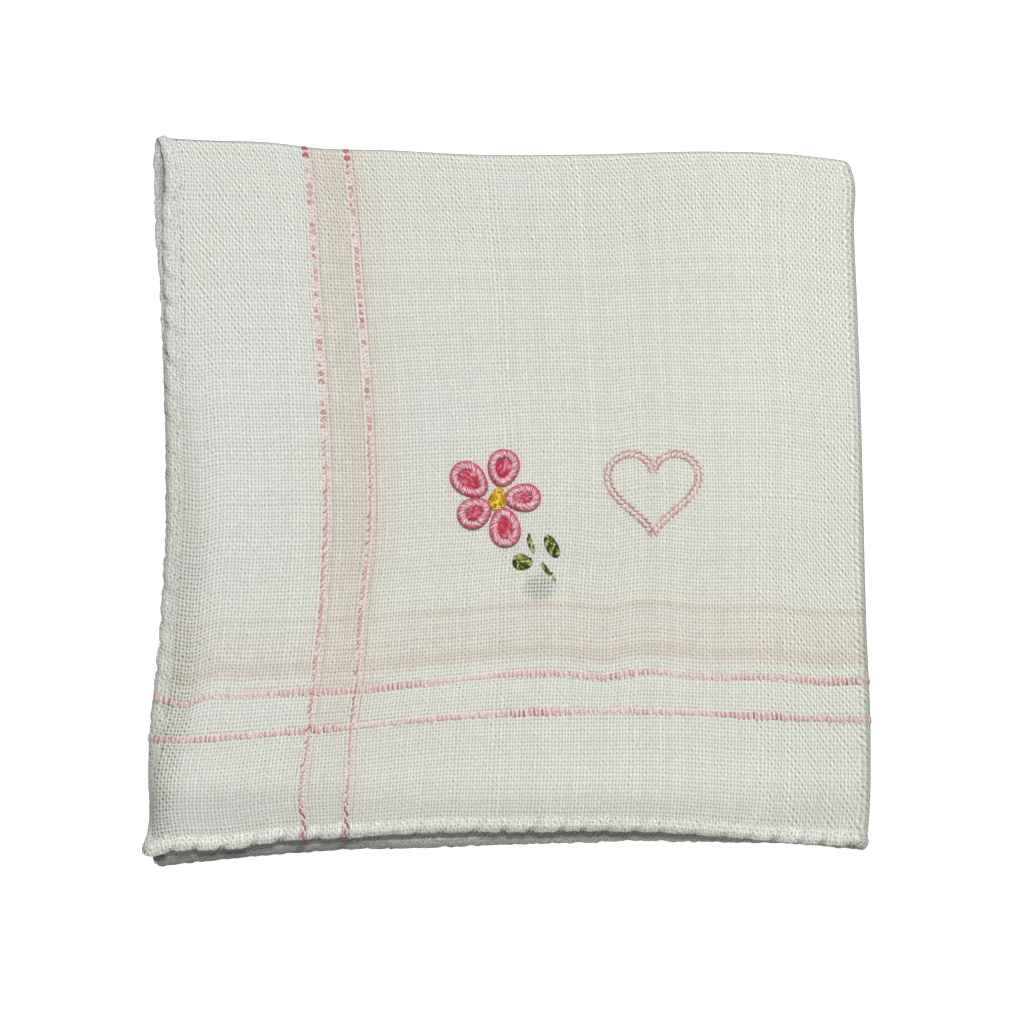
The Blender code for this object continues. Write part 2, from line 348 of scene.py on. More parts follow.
def thread(paths, upward, radius, sides=6, closed=False, tint=0.5, crest=0.5, flat=1.0):
    """Tubes round paths, an array of path, step and x y z.

    A ring point is the path point plus radius times (cos a sideways + flat sin a upwards).
    Open ends are closed by a fan of triangles. tint is a value for each path or point.
    """
    count, steps = paths.shape[:2]
    if closed:
        along = np.roll(paths, -1, axis=1) - np.roll(paths, 1, axis=1)
    else:
        along = np.gradient(paths, axis=1)
    along = unit(along)
    side = unit(np.cross(along, upward))
    above = np.cross(side, along)
    angle = 2 * np.pi * np.arange(sides) / sides
    radius = np.broadcast_to(radius, (count, steps, sides))[..., None]
    ring = np.cos(angle)[:, None] * side[:, :, None] + flat * np.sin(angle)[:, None] * above[
        :, :, None]
    points = (paths[:, :, None] + radius * ring).reshape(-1, 3)
    first = (np.arange(count) * steps * sides)[:, None, None]
    quads = (grid_quads(steps, sides, closed, True)[None] + first).reshape(-1, 4)
    tints = np.broadcast_to(tint, (count, steps, sides)).reshape(-1)
    crests = np.broadcast_to(crest, (count, steps, sides)).reshape(-1)
    if closed:
        return points, quads, NO_TRIANGLES, np.stack([tints, crests], axis=1)
    ends = np.concatenate([paths[:, 0], paths[:, -1]])
    middle = len(points) + np.arange(2 * count)
    turn = np.arange(sides)
    near = first[:, 0] + turn
    far = near + (steps - 1) * sides
    near_fan = np.stack([np.broadcast_to(middle[:count, None], near.shape), near,
                         np.roll(near, -1, axis=1)], axis=-1)
    far_fan = np.stack([np.broadcast_to(middle[count:, None], far.shape),
                        np.roll(far, -1, axis=1), far], axis=-1)
    triangles = np.concatenate([near_fan.reshape(-1, 3), far_fan.reshape(-1, 3)])
    tip_tints = np.broadcast_to(tint, (count, steps, sides))[:, (0, -1), 0].T.reshape(-1)
    values = np.stack([np.concatenate([tints, tip_tints]),
                       np.concatenate([crests, np.zeros(2 * count)])], axis=1)
    return np.concatenate([points, ends]), quads, triangles, values


def scatter(count, seed):
    """Even-looking numbers from 0 to 1 that are the same on each run."""
    return np.random.default_rng(seed).random(count)


def chances(count, seed, columns=3):
    """A few columns of scattered numbers."""
    return [scatter(count, seed + each)[:, None] for each in range(columns)]


def across_stitch(steps, start=-1.0):
    """A row of even shares from start to 1."""
    return np.linspace(start, 1.0, steps)[None, :]


def whole_turn(steps):
    """A row of even angles once round."""
    return np.linspace(0.0, 2 * np.pi, steps + 1)[None, :-1]


def tapered(share, tip):
    """A thickness that goes from tip at a share of 0 or 1 to full in the middle, as an arch."""
    return tip + (1 - tip) * np.sqrt(np.clip(4 * share * (1 - share), 0.0, 1.0))


print("three scattered numbers:", scatter(3, 1).round(3))

# %% [markdown]
# Building materials from small steps
#
# A procedural material is a chain of small sums. Helpers keep the chains short enough to read:
# one adds any node and fills its inputs in order, and the others are the steps of arithmetic and
# of mixing that come again and again.


# %% Helpers for shader nodes
def add_node(tree, kind, *inputs, **settings):
    """Adds a node, applies its settings, then fills or links its inputs in order."""
    made = tree.nodes.new(kind)
    for label, value in settings.items():
        setattr(made, label, value)
    for socket, value in zip(made.inputs, inputs):
        if isinstance(value, bpy.types.NodeSocket):
            tree.links.new(value, socket)
        elif value is not None:
            socket.default_value = value
    return made.outputs


def sum_of(tree, operation, *inputs):
    """One step of arithmetic, such as MULTIPLY, on numbers or sockets."""
    return add_node(tree, "ShaderNodeMath", *inputs, operation=operation)[0]


def band(tree, value, low, high, clear=0.0, full=1.0):
    """Eases from clear to full as the value goes from low to high."""
    return add_node(tree, "ShaderNodeMapRange", value, low, high, clear, full,
                    interpolation_type="SMOOTHSTEP")[0]


def largest(tree, values):
    """The largest of several values."""
    best = values[0]
    for value in values[1:]:
        best = sum_of(tree, "MAXIMUM", best, value)
    return best


def all_of(tree, values):
    """The product of several shares."""
    product = values[0]
    for value in values[1:]:
        product = sum_of(tree, "MULTIPLY", product, value)
    return product


def blend_colours(tree, share, first, second, how="MIX"):
    """Mixes two colours by a share."""
    made = tree.nodes.new("ShaderNodeMix")
    made.data_type, made.blend_type = "RGBA", how
    for socket, value in zip((made.inputs[0], made.inputs[6], made.inputs[7]),
                             (share, first, second)):
        if isinstance(value, bpy.types.NodeSocket):
            tree.links.new(value, socket)
        else:
            socket.default_value = value
    return made.outputs[2]


def tinted(tree, share, colour, factors):
    """Multiplies a colour by factors, by a share."""
    return blend_colours(tree, share, colour,
                         blend_colours(tree, 1.0, colour, factors, "MULTIPLY"))


def add_bump(tree, shader, height, strength, distance):
    """Raises the surface's normal by a height, in metres of full height."""
    bump = tree.nodes.new("ShaderNodeBump")
    bump.inputs["Strength"].default_value = strength
    bump.inputs["Distance"].default_value = distance
    tree.links.new(height, bump.inputs["Height"])
    tree.links.new(bump.outputs[0], shader.inputs["Normal"])


def new_material(name, roughness, sheen=0.0):
    """A material with its shader's plain values set on the shader's own sockets."""
    material = bpy.data.materials.new(name)
    material.use_nodes = True
    shader = material.node_tree.nodes["Principled BSDF"]
    shader.inputs["Roughness"].default_value = roughness
    shader.inputs["Specular IOR Level"].default_value = 0.25
    shader.inputs["Sheen Weight"].default_value = sheen
    shader.inputs["Sheen Roughness"].default_value = 0.4
    return material, material.node_tree, shader


print("materials in the scene so far:", len(bpy.data.materials))

# %% [markdown]
# The weave
#
# The cloth is a light plain weave, about eighteen threads to the centimetre one way and sixteen
# the other, open enough to show specks of shade between the threads. Modelling each thread would
# take millions of faces, so the weave is a pattern on the cloth's own flat coordinates: one set
# of threads along u and one along v, each rising over and dipping under the other. The same
# height gives the colour and the bump.

# %% The weave as a pattern
WARP_PITCH = 0.56
WEFT_PITCH = 0.63
# Each is a value for straight yarn, and how much full twist adds to it.
FLOAT_LEAN = (0.15, 0.5)
RIDGE_SHARPNESS = (0.9, 0.25)
CROSSING_DIP = (0.07, 0.13)
WEFT_HEIGHT = (1.0, -0.45)


def by_twist(tree, twist, plain_and_added):
    """A value that grows with twist."""
    plain, added = plain_and_added
    return sum_of(tree, "MULTIPLY_ADD", twist, added, plain)


def thread_set(tree, across, along, shift, twist):
    """One set of parallel threads, with places counted in threads.

    Its height is a ridge, the cosine of half a turn across the thread, times a slow wave along
    the thread that dips where it goes under a crossing thread. Each float leans a little, as
    twisted yarn does. Both the dip and the lean grow with twist, and each thread has its own
    width.
    """
    number = sum_of(tree, "ROUND", across)
    off = sum_of(tree, "SUBTRACT", across, number)
    pairs = sum_of(tree, "MULTIPLY", sum_of(tree, "ADD", sum_of(tree, "ADD", along, number),
                                            shift), 0.5)
    in_float = sum_of(tree, "SUBTRACT", pairs, sum_of(tree, "ROUND", pairs))
    off = sum_of(tree, "MULTIPLY_ADD", in_float, by_twist(tree, twist, FLOAT_LEAN), off)
    width = add_node(tree, "ShaderNodeTexWhiteNoise", None, number, noise_dimensions="1D")[0]
    power = sum_of(tree, "MULTIPLY_ADD", width, 0.5, by_twist(tree, twist, RIDGE_SHARPNESS))
    ridge = sum_of(tree, "MAXIMUM", sum_of(tree, "COSINE", sum_of(tree, "MULTIPLY", off, np.pi)),
                   0.0)
    ridge = sum_of(tree, "POWER", ridge, power)
    wave = sum_of(tree, "COSINE", sum_of(tree, "MULTIPLY", in_float, 2 * np.pi))
    dip = sum_of(tree, "MULTIPLY", sum_of(tree, "SUBTRACT", wave, 1.0),
                 by_twist(tree, twist, CROSSING_DIP))
    return sum_of(tree, "MULTIPLY", ridge, sum_of(tree, "ADD", dip, 1.0)), number, width


def weave_height(tree, u, v, twist):
    """The weave's height, from 0 in the gaps to 1 on the threads, and how light each crossing is.

    The two sets join as one less the product of what each leaves open. Thick threads are lighter
    along their whole length, which gives the cloth its faint streaks.
    """
    across = sum_of(tree, "DIVIDE", u, WARP_PITCH)
    along = sum_of(tree, "DIVIDE", v, WEFT_PITCH)
    warp, column, warp_width = thread_set(tree, across, along, 0.0, twist)
    weft, row, weft_width = thread_set(tree, along, across, 1.0, 0.0)
    weft = sum_of(tree, "MULTIPLY", weft, by_twist(tree, twist, WEFT_HEIGHT))
    open_share = sum_of(tree, "MULTIPLY", sum_of(tree, "SUBTRACT", 1.0, warp),
                        sum_of(tree, "SUBTRACT", 1.0, weft))
    crossing = add_node(tree, "ShaderNodeCombineXYZ", column, row, 0.0)[0]
    shade = add_node(tree, "ShaderNodeTexWhiteNoise", crossing, noise_dimensions="2D")[0]
    widths = sum_of(tree, "ADD", warp_width, weft_width)
    shade = sum_of(tree, "MULTIPLY_ADD", widths, -0.12, sum_of(tree, "MULTIPLY_ADD", shade, 0.40,
                                                              0.55))
    lit = sum_of(tree, "MULTIPLY", sum_of(tree, "MAXIMUM", warp, sum_of(
        tree, "MULTIPLY", weft, 0.8)), shade)
    return sum_of(tree, "SUBTRACT", 1.0, open_share), lit


def uneven_spacing(tree, value):
    """Moves parallel threads closer and apart by a slow noise, in millimetres."""
    noise = add_node(tree, "ShaderNodeTexNoise", None, value, 0.24, 1.5,
                     noise_dimensions="1D")[0]
    return sum_of(tree, "MULTIPLY_ADD", noise, 0.8, value)


def flat_places(tree):
    """The cloth's flat coordinates in millimetres, straight and with wandering threads."""
    places = add_node(tree, "ShaderNodeUVMap", uv_map="flat")[0]
    places = add_node(tree, "ShaderNodeVectorMath", places, (1 / MM,) * 3,
                      operation="MULTIPLY")[0]
    wander = add_node(tree, "ShaderNodeTexNoise", places, None, 0.035, 1.0)[1]
    finer = add_node(tree, "ShaderNodeTexNoise", places, None, 0.8, 1.0)[1]
    shift = add_node(tree, "ShaderNodeVectorMath", wander, (1.2, 1.2, 0.0), (-0.6, -0.6, 0.0),
                     operation="MULTIPLY_ADD")[0]
    shift = add_node(tree, "ShaderNodeVectorMath", finer, (0.24, 0.24, 0.0), shift,
                     operation="MULTIPLY_ADD")[0]
    u, v, _ = add_node(tree, "ShaderNodeSeparateXYZ", places)
    shift_u, shift_v, _ = add_node(tree, "ShaderNodeSeparateXYZ", shift)
    bent_u = sum_of(tree, "ADD", uneven_spacing(tree, u), shift_u)
    bent_v = sum_of(tree, "ADD", uneven_spacing(tree, v), shift_v)
    return places, u, v, bent_u, bent_v


print(f"weave of {10 / WARP_PITCH:.0f} by {10 / WEFT_PITCH:.0f} threads to the centimetre")

# %% [markdown]
# The cloth's colour
#
# The cotton is white with a faint green-grey in its gaps. A picture of cloth could be laid over
# it, but colours worked out from the same weave as the bump stay sharp at any distance. The layer
# below shows through the open weave: its threads brighten and darken the gaps.

# %% The cotton's colours, its soft tints, and painted light near the right fold
GAP_DARK = (0.33, 0.35, 0.30, 1.0)
GAP_LIGHT = (0.54, 0.56, 0.50, 1.0)
YARN_DULL = (0.66, 0.675, 0.625, 1.0)
YARN_BRIGHT = (0.82, 0.83, 0.785, 1.0)
STREAK_DULL = (1.09, 1.10, 1.08, 1.0)
STREAK_BRIGHT = (1.23, 1.23, 1.24, 1.0)
RIGHT_FOLD_PAINTED_LIGHT = (1.06, 1.06, 1.07, 1.0)
WARM_TINT = (1.0, 0.99, 0.95, 1.0)
# Waves of the layer below: how many there are to a millimetre along u and along v.
WAVES_BELOW = ((1.764, 0.555), (1.198, 0.920))


def woven_cotton(tree, u, v, twist):
    """Colour and height of white woven cotton on flat places in millimetres.

    Two slanting sets of waves stand for the layer below, and slant the other way in the corner
    at the back right. They lighten the gaps and, where the cloth is drawn askew, streak the
    threads as well.
    """
    height, shade = weave_height(tree, u, v, twist)
    slants = []
    for side in (1.0, -1.0):
        waves = []
        for by_u, by_v in WAVES_BELOW:
            turns = sum_of(tree, "MULTIPLY_ADD", v, 2 * np.pi * by_v,
                           sum_of(tree, "MULTIPLY", u, side * 2 * np.pi * by_u))
            waves.append(sum_of(tree, "COSINE", turns))
        slants.append(sum_of(tree, "MULTIPLY_ADD", sum_of(tree, "ADD", *waves), 0.25, 0.5))
    corner = sum_of(tree, "MULTIPLY", band(tree, u, 105.0, 112.0), band(tree, v, 74.0, 88.0))
    below = sum_of(tree, "MULTIPLY_ADD", sum_of(tree, "SUBTRACT", slants[1], slants[0]), corner,
                   slants[0])
    gap = blend_colours(tree, below, GAP_DARK, GAP_LIGHT)
    yarn = blend_colours(tree, band(tree, shade, 0.1, 1.0), YARN_DULL, YARN_BRIGHT)
    colour = blend_colours(tree, band(tree, height, 0.30, 1.0), gap, yarn)
    streaked = blend_colours(tree, band(tree, below, 0.1, 0.9), STREAK_DULL, STREAK_BRIGHT)
    return tinted(tree, twist, colour, streaked), height


def warm_tint_and_painted_light(tree, colour, u, v, cloudy):
    """Tints a colour warmer towards the right and the front, with soft clouds.

    Near the right fold it has painted light, a lighter tone, most of all towards the back.
    """
    warm = sum_of(tree, "MULTIPLY_ADD", u, 0.007, sum_of(tree, "MULTIPLY", v, -0.003))
    warm = sum_of(tree, "MULTIPLY_ADD", cloudy, 0.6, warm)
    # Painted light: lighter near the right fold, most of all towards the back.
    tight = sum_of(tree, "MULTIPLY", band(tree, u, 74.0, 112.0),
                   band(tree, v, 25.0, 95.0, 0.2, 1.0))
    colour = tinted(tree, tight, colour, RIGHT_FOLD_PAINTED_LIGHT)
    return tinted(tree, band(tree, warm, 0.0, 0.8), colour, WARM_TINT)


print("gaps", GAP_DARK[:3], "to", GAP_LIGHT[:3], "yarn", YARN_DULL[:3], "to", YARN_BRIGHT[:3])


# %% Places on the cloth that a pattern follows
def mirrored(tree, value, length):
    """Distance from the nearer of the two opposite hems."""
    return sum_of(tree, "MINIMUM", value, sum_of(tree, "SUBTRACT", length, value))


def stripe(tree, value, place, half_width, soft):
    """One on a stripe at a place, easing to nothing past its half width."""
    off = sum_of(tree, "ABSOLUTE", sum_of(tree, "SUBTRACT", value, place))
    return band(tree, off, half_width + soft, half_width)


def curl_painted_shade_share(tree, u, v, share):
    """The share of painted shade beside the left hem, which grows to the front where it curls."""
    return all_of(tree, [band(tree, u, 9.5, 1.0), band(tree, v, 98.0, 58.0), share])


def drawn_askew(tree, u, v, cloudy):
    """How far the weave is drawn askew: along the back, the right and the left, in patches."""
    drawn = largest(tree, [
        all_of(tree, [band(tree, u, 46.0, 2.0), band(tree, v, 62.0, 98.0)]),
        all_of(tree, [band(tree, v, 88.0, 110.0), 0.75]),
        all_of(tree, [band(tree, u, 92.0, 116.0), 0.9]),
        all_of(tree, [band(tree, u, 12.0, 3.0), band(tree, v, 60.0, 10.0), 0.6]),
    ])
    return largest(tree, [all_of(tree, [drawn, band(tree, cloudy, 0.30, 0.52, 0.45, 1.0)]), 0.18])


def flat_of(x, y):
    """Flat places of a point of the top layer, by a few steps that each close what is left."""
    u, v = x - LEFT_SIDE, y - FRONT_SIDE
    for _ in range(8):
        place = cloth_point(u, v, SHEET_THICKNESS / 2)
        u, v = u + x - float(place[0]), v + y - float(place[1])
    return u, v


print("the old crease is at u =", round(flat_of(CREASE_PLACE, 30.0)[0], 1), "mm")

# %% [markdown]
# What shows through, and the pink bands
#
# The lower layers' pink lines glow faintly beside the top layer's. Real show-through would need
# clear gaps in the weave and all four layers lit, so it is painted instead, as a haze and as
# ghosts of lines. Two pairs of pink bands are woven over with stitches, so the cloth under them
# is pale pink, with a thin brownish thread beside each band.

# %% The lower layers' lines, which show through
HAZE_GAP = (0.94, 0.78, 0.70, 1.0)
HAZE_YARN = (0.965, 0.915, 0.885, 1.0)
GHOST_PINK = (0.93, 0.80, 0.74, 1.0)
GHOST_LINES = (38.2, 30.5)


def with_lower_lines(tree, colour, u, v, bent_u, height):
    """A pink haze where the lower layers' bands lie, with faint ghosts of their lines in it."""
    between = all_of(tree, [band(tree, u, 24.5, 27.5), band(tree, u, 42.0, 33.0),
                            band(tree, v, 12.0, 34.0, 0.35, 1.0)])
    below_front = all_of(tree, [band(tree, v, 27.8, 29.5), band(tree, v, 47.0, 29.0), 0.75])
    haze = blend_colours(tree, height, HAZE_GAP, HAZE_YARN)
    colour = tinted(tree, largest(tree, [between, below_front]), colour, haze)
    strands = add_node(tree, "ShaderNodeTexNoise", None, bent_u, 1.1, 0.0,
                       noise_dimensions="1D")[0]
    ghosts = [
        all_of(tree, [between, band(tree, strands, 0.56, 0.66), 0.45]),
        all_of(tree, [stripe(tree, v, GHOST_LINES[0], 0.25, 0.8), 0.45,
                      band(tree, u, 8.0, 70.0, 0.4, 1.0)]),
        all_of(tree, [stripe(tree, v, GHOST_LINES[1], 0.5, 1.1), 0.28]),
    ]
    return tinted(tree, largest(tree, ghosts), colour, GHOST_PINK)


print("ghosts of the lower front lines at", GHOST_LINES, "mm from the front hem")

# %% The pink bands under the stitches
BAND_HALF_WIDTH, BAND_SOFTNESS = 0.48, 0.34
BAND_GAP = (0.53, 0.38, 0.345, 1.0)
BAND_YARN = (0.83, 0.715, 0.68, 1.0)
BACK_BAND_TINT = (1.0, 1.08, 1.09, 1.0)
BROWN_THREAD = (0.50, 0.34, 0.29, 1.0)


def with_pink_bands(tree, colour, places, v, from_side, from_front, height):
    """A pale pink band under each stitched line, with a thin brownish thread beside it."""
    core, rims = [], []
    strong = band(tree, v, 62.0, 84.0, 0.55, 1.0)
    for lines, value, sides, share in ((SIDE_LINES, from_side, (-1.0, 1.0), strong),
                                       (FRONT_LINES, from_front, (0.95,), 0.85)):
        for line in lines:
            on_line = stripe(tree, value, line, BAND_HALF_WIDTH, BAND_SOFTNESS)
            core.append(sum_of(tree, "MULTIPLY", on_line, share))
            rims += [stripe(tree, value, line + side, 0.03, 0.13) for side in sides]
    pale = blend_colours(tree, band(tree, height, 0.35, 0.95), BAND_GAP, BAND_YARN)
    pale = tinted(tree, band(tree, v, 62.0, 84.0), pale, BACK_BAND_TINT)
    worn = band(tree, add_node(tree, "ShaderNodeTexNoise", places, None, 0.6, 0.0)[0], 0.40, 0.58)
    mottled = band(tree, add_node(tree, "ShaderNodeTexNoise", places, None, 1.8, 0.0)[0], 0.3,
                   0.6, 0.35, 1.0)
    colour = blend_colours(tree, all_of(tree, [largest(tree, core), mottled]), colour, pale)
    rim_share = all_of(tree, [largest(tree, rims), worn, 0.55])
    return blend_colours(tree, rim_share, colour, BROWN_THREAD)


print(f"pink bands {2 * BAND_HALF_WIDTH + BAND_SOFTNESS:.1f} mm wide")

# %% [markdown]
# Holes, a thin place, and painted shade and light
#
# A needle leaves small holes along the hem, and wear leaves a thin place under the leaves.
# Shade is painted where the cloth turns over a fold and beside the curled hem, and light is
# painted along the front and on the old crease. None of these changes the shape, so they are
# shares of darker or lighter colour on the flat places, and the whole material is put together
# here.

# %% Holes, the thin place, and painted shade and light
THIN_PLACE = (5.8, -14.5)
THIN_HALF_SIZES = (3.3, 2.7)
HEM_HOLES_PLACE = 3.3
HOLE_DARK = (0.14, 0.15, 0.13, 1.0)
CURL_PAINTED_SHADE = (0.80, 0.79, 0.77, 1.0)
FRONT_PAINTED_LIGHT = (1.07, 1.07, 1.07, 1.0)
THIN_DULL = (0.84, 0.86, 0.84, 1.0)
FOLD_SHADE = (0.52, 0.56, 0.53, 1.0)
CREASE_PAINTED_HIGHLIGHT = (1.09, 1.09, 1.09, 1.0)


def with_holes_and_painted_shading(tree, colour, places, u, v, from_side, from_front, height):
    """Dark holes: dotted along the hem, loose beside the curl, and in the thin place.

    The thin place is an oval whose edge a fine noise makes uneven. The cloth also has painted
    shade beside the curled hem, and painted light along the front.
    """
    speck = add_node(tree, "ShaderNodeTexNoise", places, None, 1.3, 1.0)[0]
    holes = band(tree, height, 0.9, 0.5)
    from_edge = sum_of(tree, "MINIMUM", from_side, from_front)
    seam = all_of(tree, [stripe(tree, from_edge, HEM_HOLES_PLACE, 0.1, 0.35), holes,
                         band(tree, speck, 0.40, 0.70, 0.05, 0.75),
                         band(tree, from_side, 34.0, 16.0, 0.45, 1.0)])
    loose = all_of(tree, [stripe(tree, u, 4.2, 1.4, 2.0), band(tree, v, 72.0, 40.0), holes,
                          band(tree, speck, 0.30, 0.65, 0.15, 0.7)])
    # Painted shade beside the left hem, where it curls under.
    colour = tinted(tree, curl_painted_shade_share(tree, u, v, 0.85), colour, CURL_PAINTED_SHADE)
    # Painted light along the front of the top layer, before its hem.
    front = all_of(tree, [band(tree, v, 15.0, 6.0), band(tree, u, 14.0, 34.0)])
    colour = tinted(tree, front, colour, FRONT_PAINTED_LIGHT)
    off_u, off_v = (sum_of(tree, "DIVIDE", sum_of(tree, "SUBTRACT", value, middle), half)
                    for value, middle, half in zip((u, v), flat_of(*THIN_PLACE),
                                                   THIN_HALF_SIZES))
    spread = sum_of(tree, "MULTIPLY_ADD", off_u, off_u, sum_of(tree, "MULTIPLY", off_v, off_v))
    thin = band(tree, sum_of(tree, "MULTIPLY_ADD", speck, -0.6, spread), 0.9, -0.2)
    colour = tinted(tree, thin, colour, THIN_DULL)
    thin_holes = all_of(tree, [thin, holes, 0.8])
    return blend_colours(tree, largest(tree, [seam, loose, thin_holes]), colour, HOLE_DARK)


def with_painted_fold_shading(tree, colour, u, v):
    """Painted shade, a darker line where the cloth turns over each fold, and a painted
    highlight, a lighter line, on the crease.
    """
    # Painted shade where the cloth turns over the back and the right folds.
    over_back = all_of(tree, [band(tree, v, FRONT_RUN + 0.35, FRONT_RUN + 0.95),
                              band(tree, v, FRONT_RUN + BACK_BEND, FRONT_RUN + 1.5), 0.8])
    over_right = all_of(tree, [band(tree, u, SIDE_RUN + 0.4, SIDE_RUN + 1.6),
                               band(tree, u, SIDE_RUN + SIDE_BEND, SIDE_RUN + 2.6), 0.3])
    colour = tinted(tree, largest(tree, [over_back, over_right]), colour, FOLD_SHADE)
    # Painted highlight: a lighter line along the old crease.
    crease = all_of(tree, [stripe(tree, u, flat_of(CREASE_PLACE, 30.0)[0], 0.3, 0.5),
                           band(tree, v, 52.0, 68.0), 0.5])
    return tinted(tree, crease, colour, CREASE_PAINTED_HIGHLIGHT)


def cloth_material():
    """White cotton: weave, show-through, pink bands, hem holes, and painted shade and light."""
    material, tree, shader = new_material("woven_white_cotton", 0.85, sheen=0.15)
    places, u, v, bent_u, bent_v = flat_places(tree)
    cloudy = add_node(tree, "ShaderNodeTexNoise", places, None, 0.05, 1.0)[0]
    twist = drawn_askew(tree, u, v, cloudy)
    colour, height = woven_cotton(tree, bent_u, bent_v, twist)
    from_side = mirrored(tree, u, CLOTH_WIDTH)
    from_front = mirrored(tree, v, CLOTH_LENGTH)
    colour = warm_tint_and_painted_light(tree, colour, u, v, cloudy)
    colour = with_lower_lines(tree, colour, u, v, bent_u, height)
    colour = with_pink_bands(tree, colour, places, v, from_side, from_front, height)
    colour = with_holes_and_painted_shading(tree, colour, places, u, v, from_side, from_front, height)
    colour = with_painted_fold_shading(tree, colour, u, v)
    tree.links.new(colour, shader.inputs["Base Color"])
    add_bump(tree, shader, height, 0.6, 0.00006)
    return material


white_cotton = cloth_material()
print("cloth material has", len(white_cotton.node_tree.nodes), "nodes")

# %% [markdown]
# The folded sheet
#
# The sheet is a grid of flat places, closer at the folds, put through the fold once for its
# outer face and once for its inner face. The edges of the two faces are joined, so it is a closed
# thin sheet. Its flat places are kept as a UV map in metres, which the weave reads.


# %% The sheet of cloth
SIDE_STEPS = (132, 11, 62)
FRONT_STEPS = (132, 9, 50)
SHEET_INSET = 0.7


def steps_over(run, bend, far, counts, inset):
    """Flat places along one side: the upper run, the bend, and the run that is folded under."""
    first = np.linspace(inset, run, counts[0])
    middle = np.linspace(run, run + bend, counts[1])[1:]
    last = np.linspace(run + bend, far - inset, counts[2])[1:]
    return np.concatenate([first, middle, last])


def sheet_part():
    """Two grids, the outer face and the inner, joined round their edges."""
    u = steps_over(SIDE_RUN, SIDE_BEND, CLOTH_WIDTH, SIDE_STEPS, SHEET_INSET)
    v = steps_over(FRONT_RUN, BACK_BEND, CLOTH_LENGTH, FRONT_STEPS, SHEET_INSET)
    grid_u, grid_v = (each.ravel() for each in np.meshgrid(u, v, indexing="ij"))
    half = SHEET_THICKNESS / 2
    faces = [cloth_point(grid_u, grid_v, side * half) for side in (1.0, -1.0)]
    outer = grid_quads(len(u), len(v))
    inner = outer[:, ::-1] + len(grid_u)
    number = np.arange(len(grid_u)).reshape(len(u), len(v))
    rim = np.concatenate([number[:-1, 0], number[-1, :-1], number[:0:-1, -1], number[0, :0:-1]])
    ahead = np.roll(rim, -1)
    edge = np.stack([rim, rim + len(grid_u), ahead + len(grid_u), ahead], axis=1)
    flat = np.stack([grid_u, grid_v], axis=1)
    flat = np.concatenate([flat, flat])
    quads = np.concatenate([outer, inner, edge])
    return (np.concatenate(faces), quads, NO_TRIANGLES, flat / CLOTH_WIDTH), flat


def keep_flat_places(piece, flat, quads):
    """Writes each point's flat place, in metres, to the piece's UV map named flat."""
    flat_map = piece.data.uv_layers.new(name="flat")
    flat_map.data.foreach_set("uv", (flat * MM)[quads.ravel()].ravel())


cloth_part, cloth_flat = sheet_part()
cloth = make_piece("woven_cloth", cloth_part, white_cotton)
keep_flat_places(cloth, cloth_flat, cloth_part[1])
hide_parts(CLOTH_NODE)

# %% [markdown]
# The rolled hem
#
# The edge of a fine handkerchief is rolled between finger and thumb into a thin cord and whipped
# with thread. It could be a thicker rim of the sheet, but a rope needs far closer points than
# the cloth does, so it is a tube of its own along the cloth's edge. Each whip stitch pulls a
# slanting groove into it. The path is kept as flat places, so the hem goes round both folds.

# %% The path of the hem
HEM_OUTER_REACH = 1.25
HEM_INNER_REACH = 2.3
HEM_HALF_HEIGHT = 0.66
HEM_INSET = 1.25
HEM_CORNER = 1.4
CROWN_OFFSET = 0.15
CROWN_WIDTH = 0.95
CORNER_LUMP, CORNER_LUMP_WIDTH = 0.45, 1.6
RUN_STEPS = 560
CORNER_STEPS = 9
WHIP_PITCH = 4.6
WHIP_SLANT = 0.8


def hem_route():
    """Flat places round the cloth, each with the direction out of it.

    They go round in four straight runs and four quarter circles, and start at the far end of
    the left side.
    """
    reach = HEM_INSET + HEM_CORNER
    far_u, far_v = CLOTH_WIDTH, CLOTH_LENGTH
    corners = ((reach, far_v - reach, 180), (far_u - reach, far_v - reach, 90),
               (far_u - reach, reach, 0), (reach, reach, -90))
    runs = []
    for number, (u, v, start) in enumerate(corners):
        turn = np.radians(np.linspace(start, start - 90, CORNER_STEPS))
        arc = np.stack([u + HEM_CORNER * np.cos(turn), v + HEM_CORNER * np.sin(turn),
                        np.cos(turn), np.sin(turn)], axis=1)
        next_u, next_v, next_start = corners[(number + 1) % 4]
        out = np.array([np.cos(np.radians(next_start)), np.sin(np.radians(next_start))])
        share = np.linspace(0.0, 1.0, RUN_STEPS)[1:-1, None]
        end = np.array([next_u, next_v]) + HEM_CORNER * out
        run = np.concatenate([arc[-1:, :2] * (1 - share) + end * share,
                              np.broadcast_to(out, (len(share), 2))], axis=1)
        runs += [arc, run]
    return np.concatenate(runs)


route = hem_route()
gaps = np.linalg.norm(np.roll(route[:, :2], -1, axis=0) - route[:, :2], axis=1)
route_length = float(gaps.sum())
route_at = np.concatenate([[0.0], np.cumsum(gaps)])
route_closed = np.concatenate([route, route[:1]])
whip_count = int(route_length / WHIP_PITCH)
whip_pitch = route_length / whip_count
print(f"hem {route_length:.0f} mm long with {whip_count} whip stitches")


def route_place(along):
    """The path's flat place at a length along it, and the direction out of the cloth there."""
    return [np.interp(along % route_length, route_at, column) for column in route_closed.T]


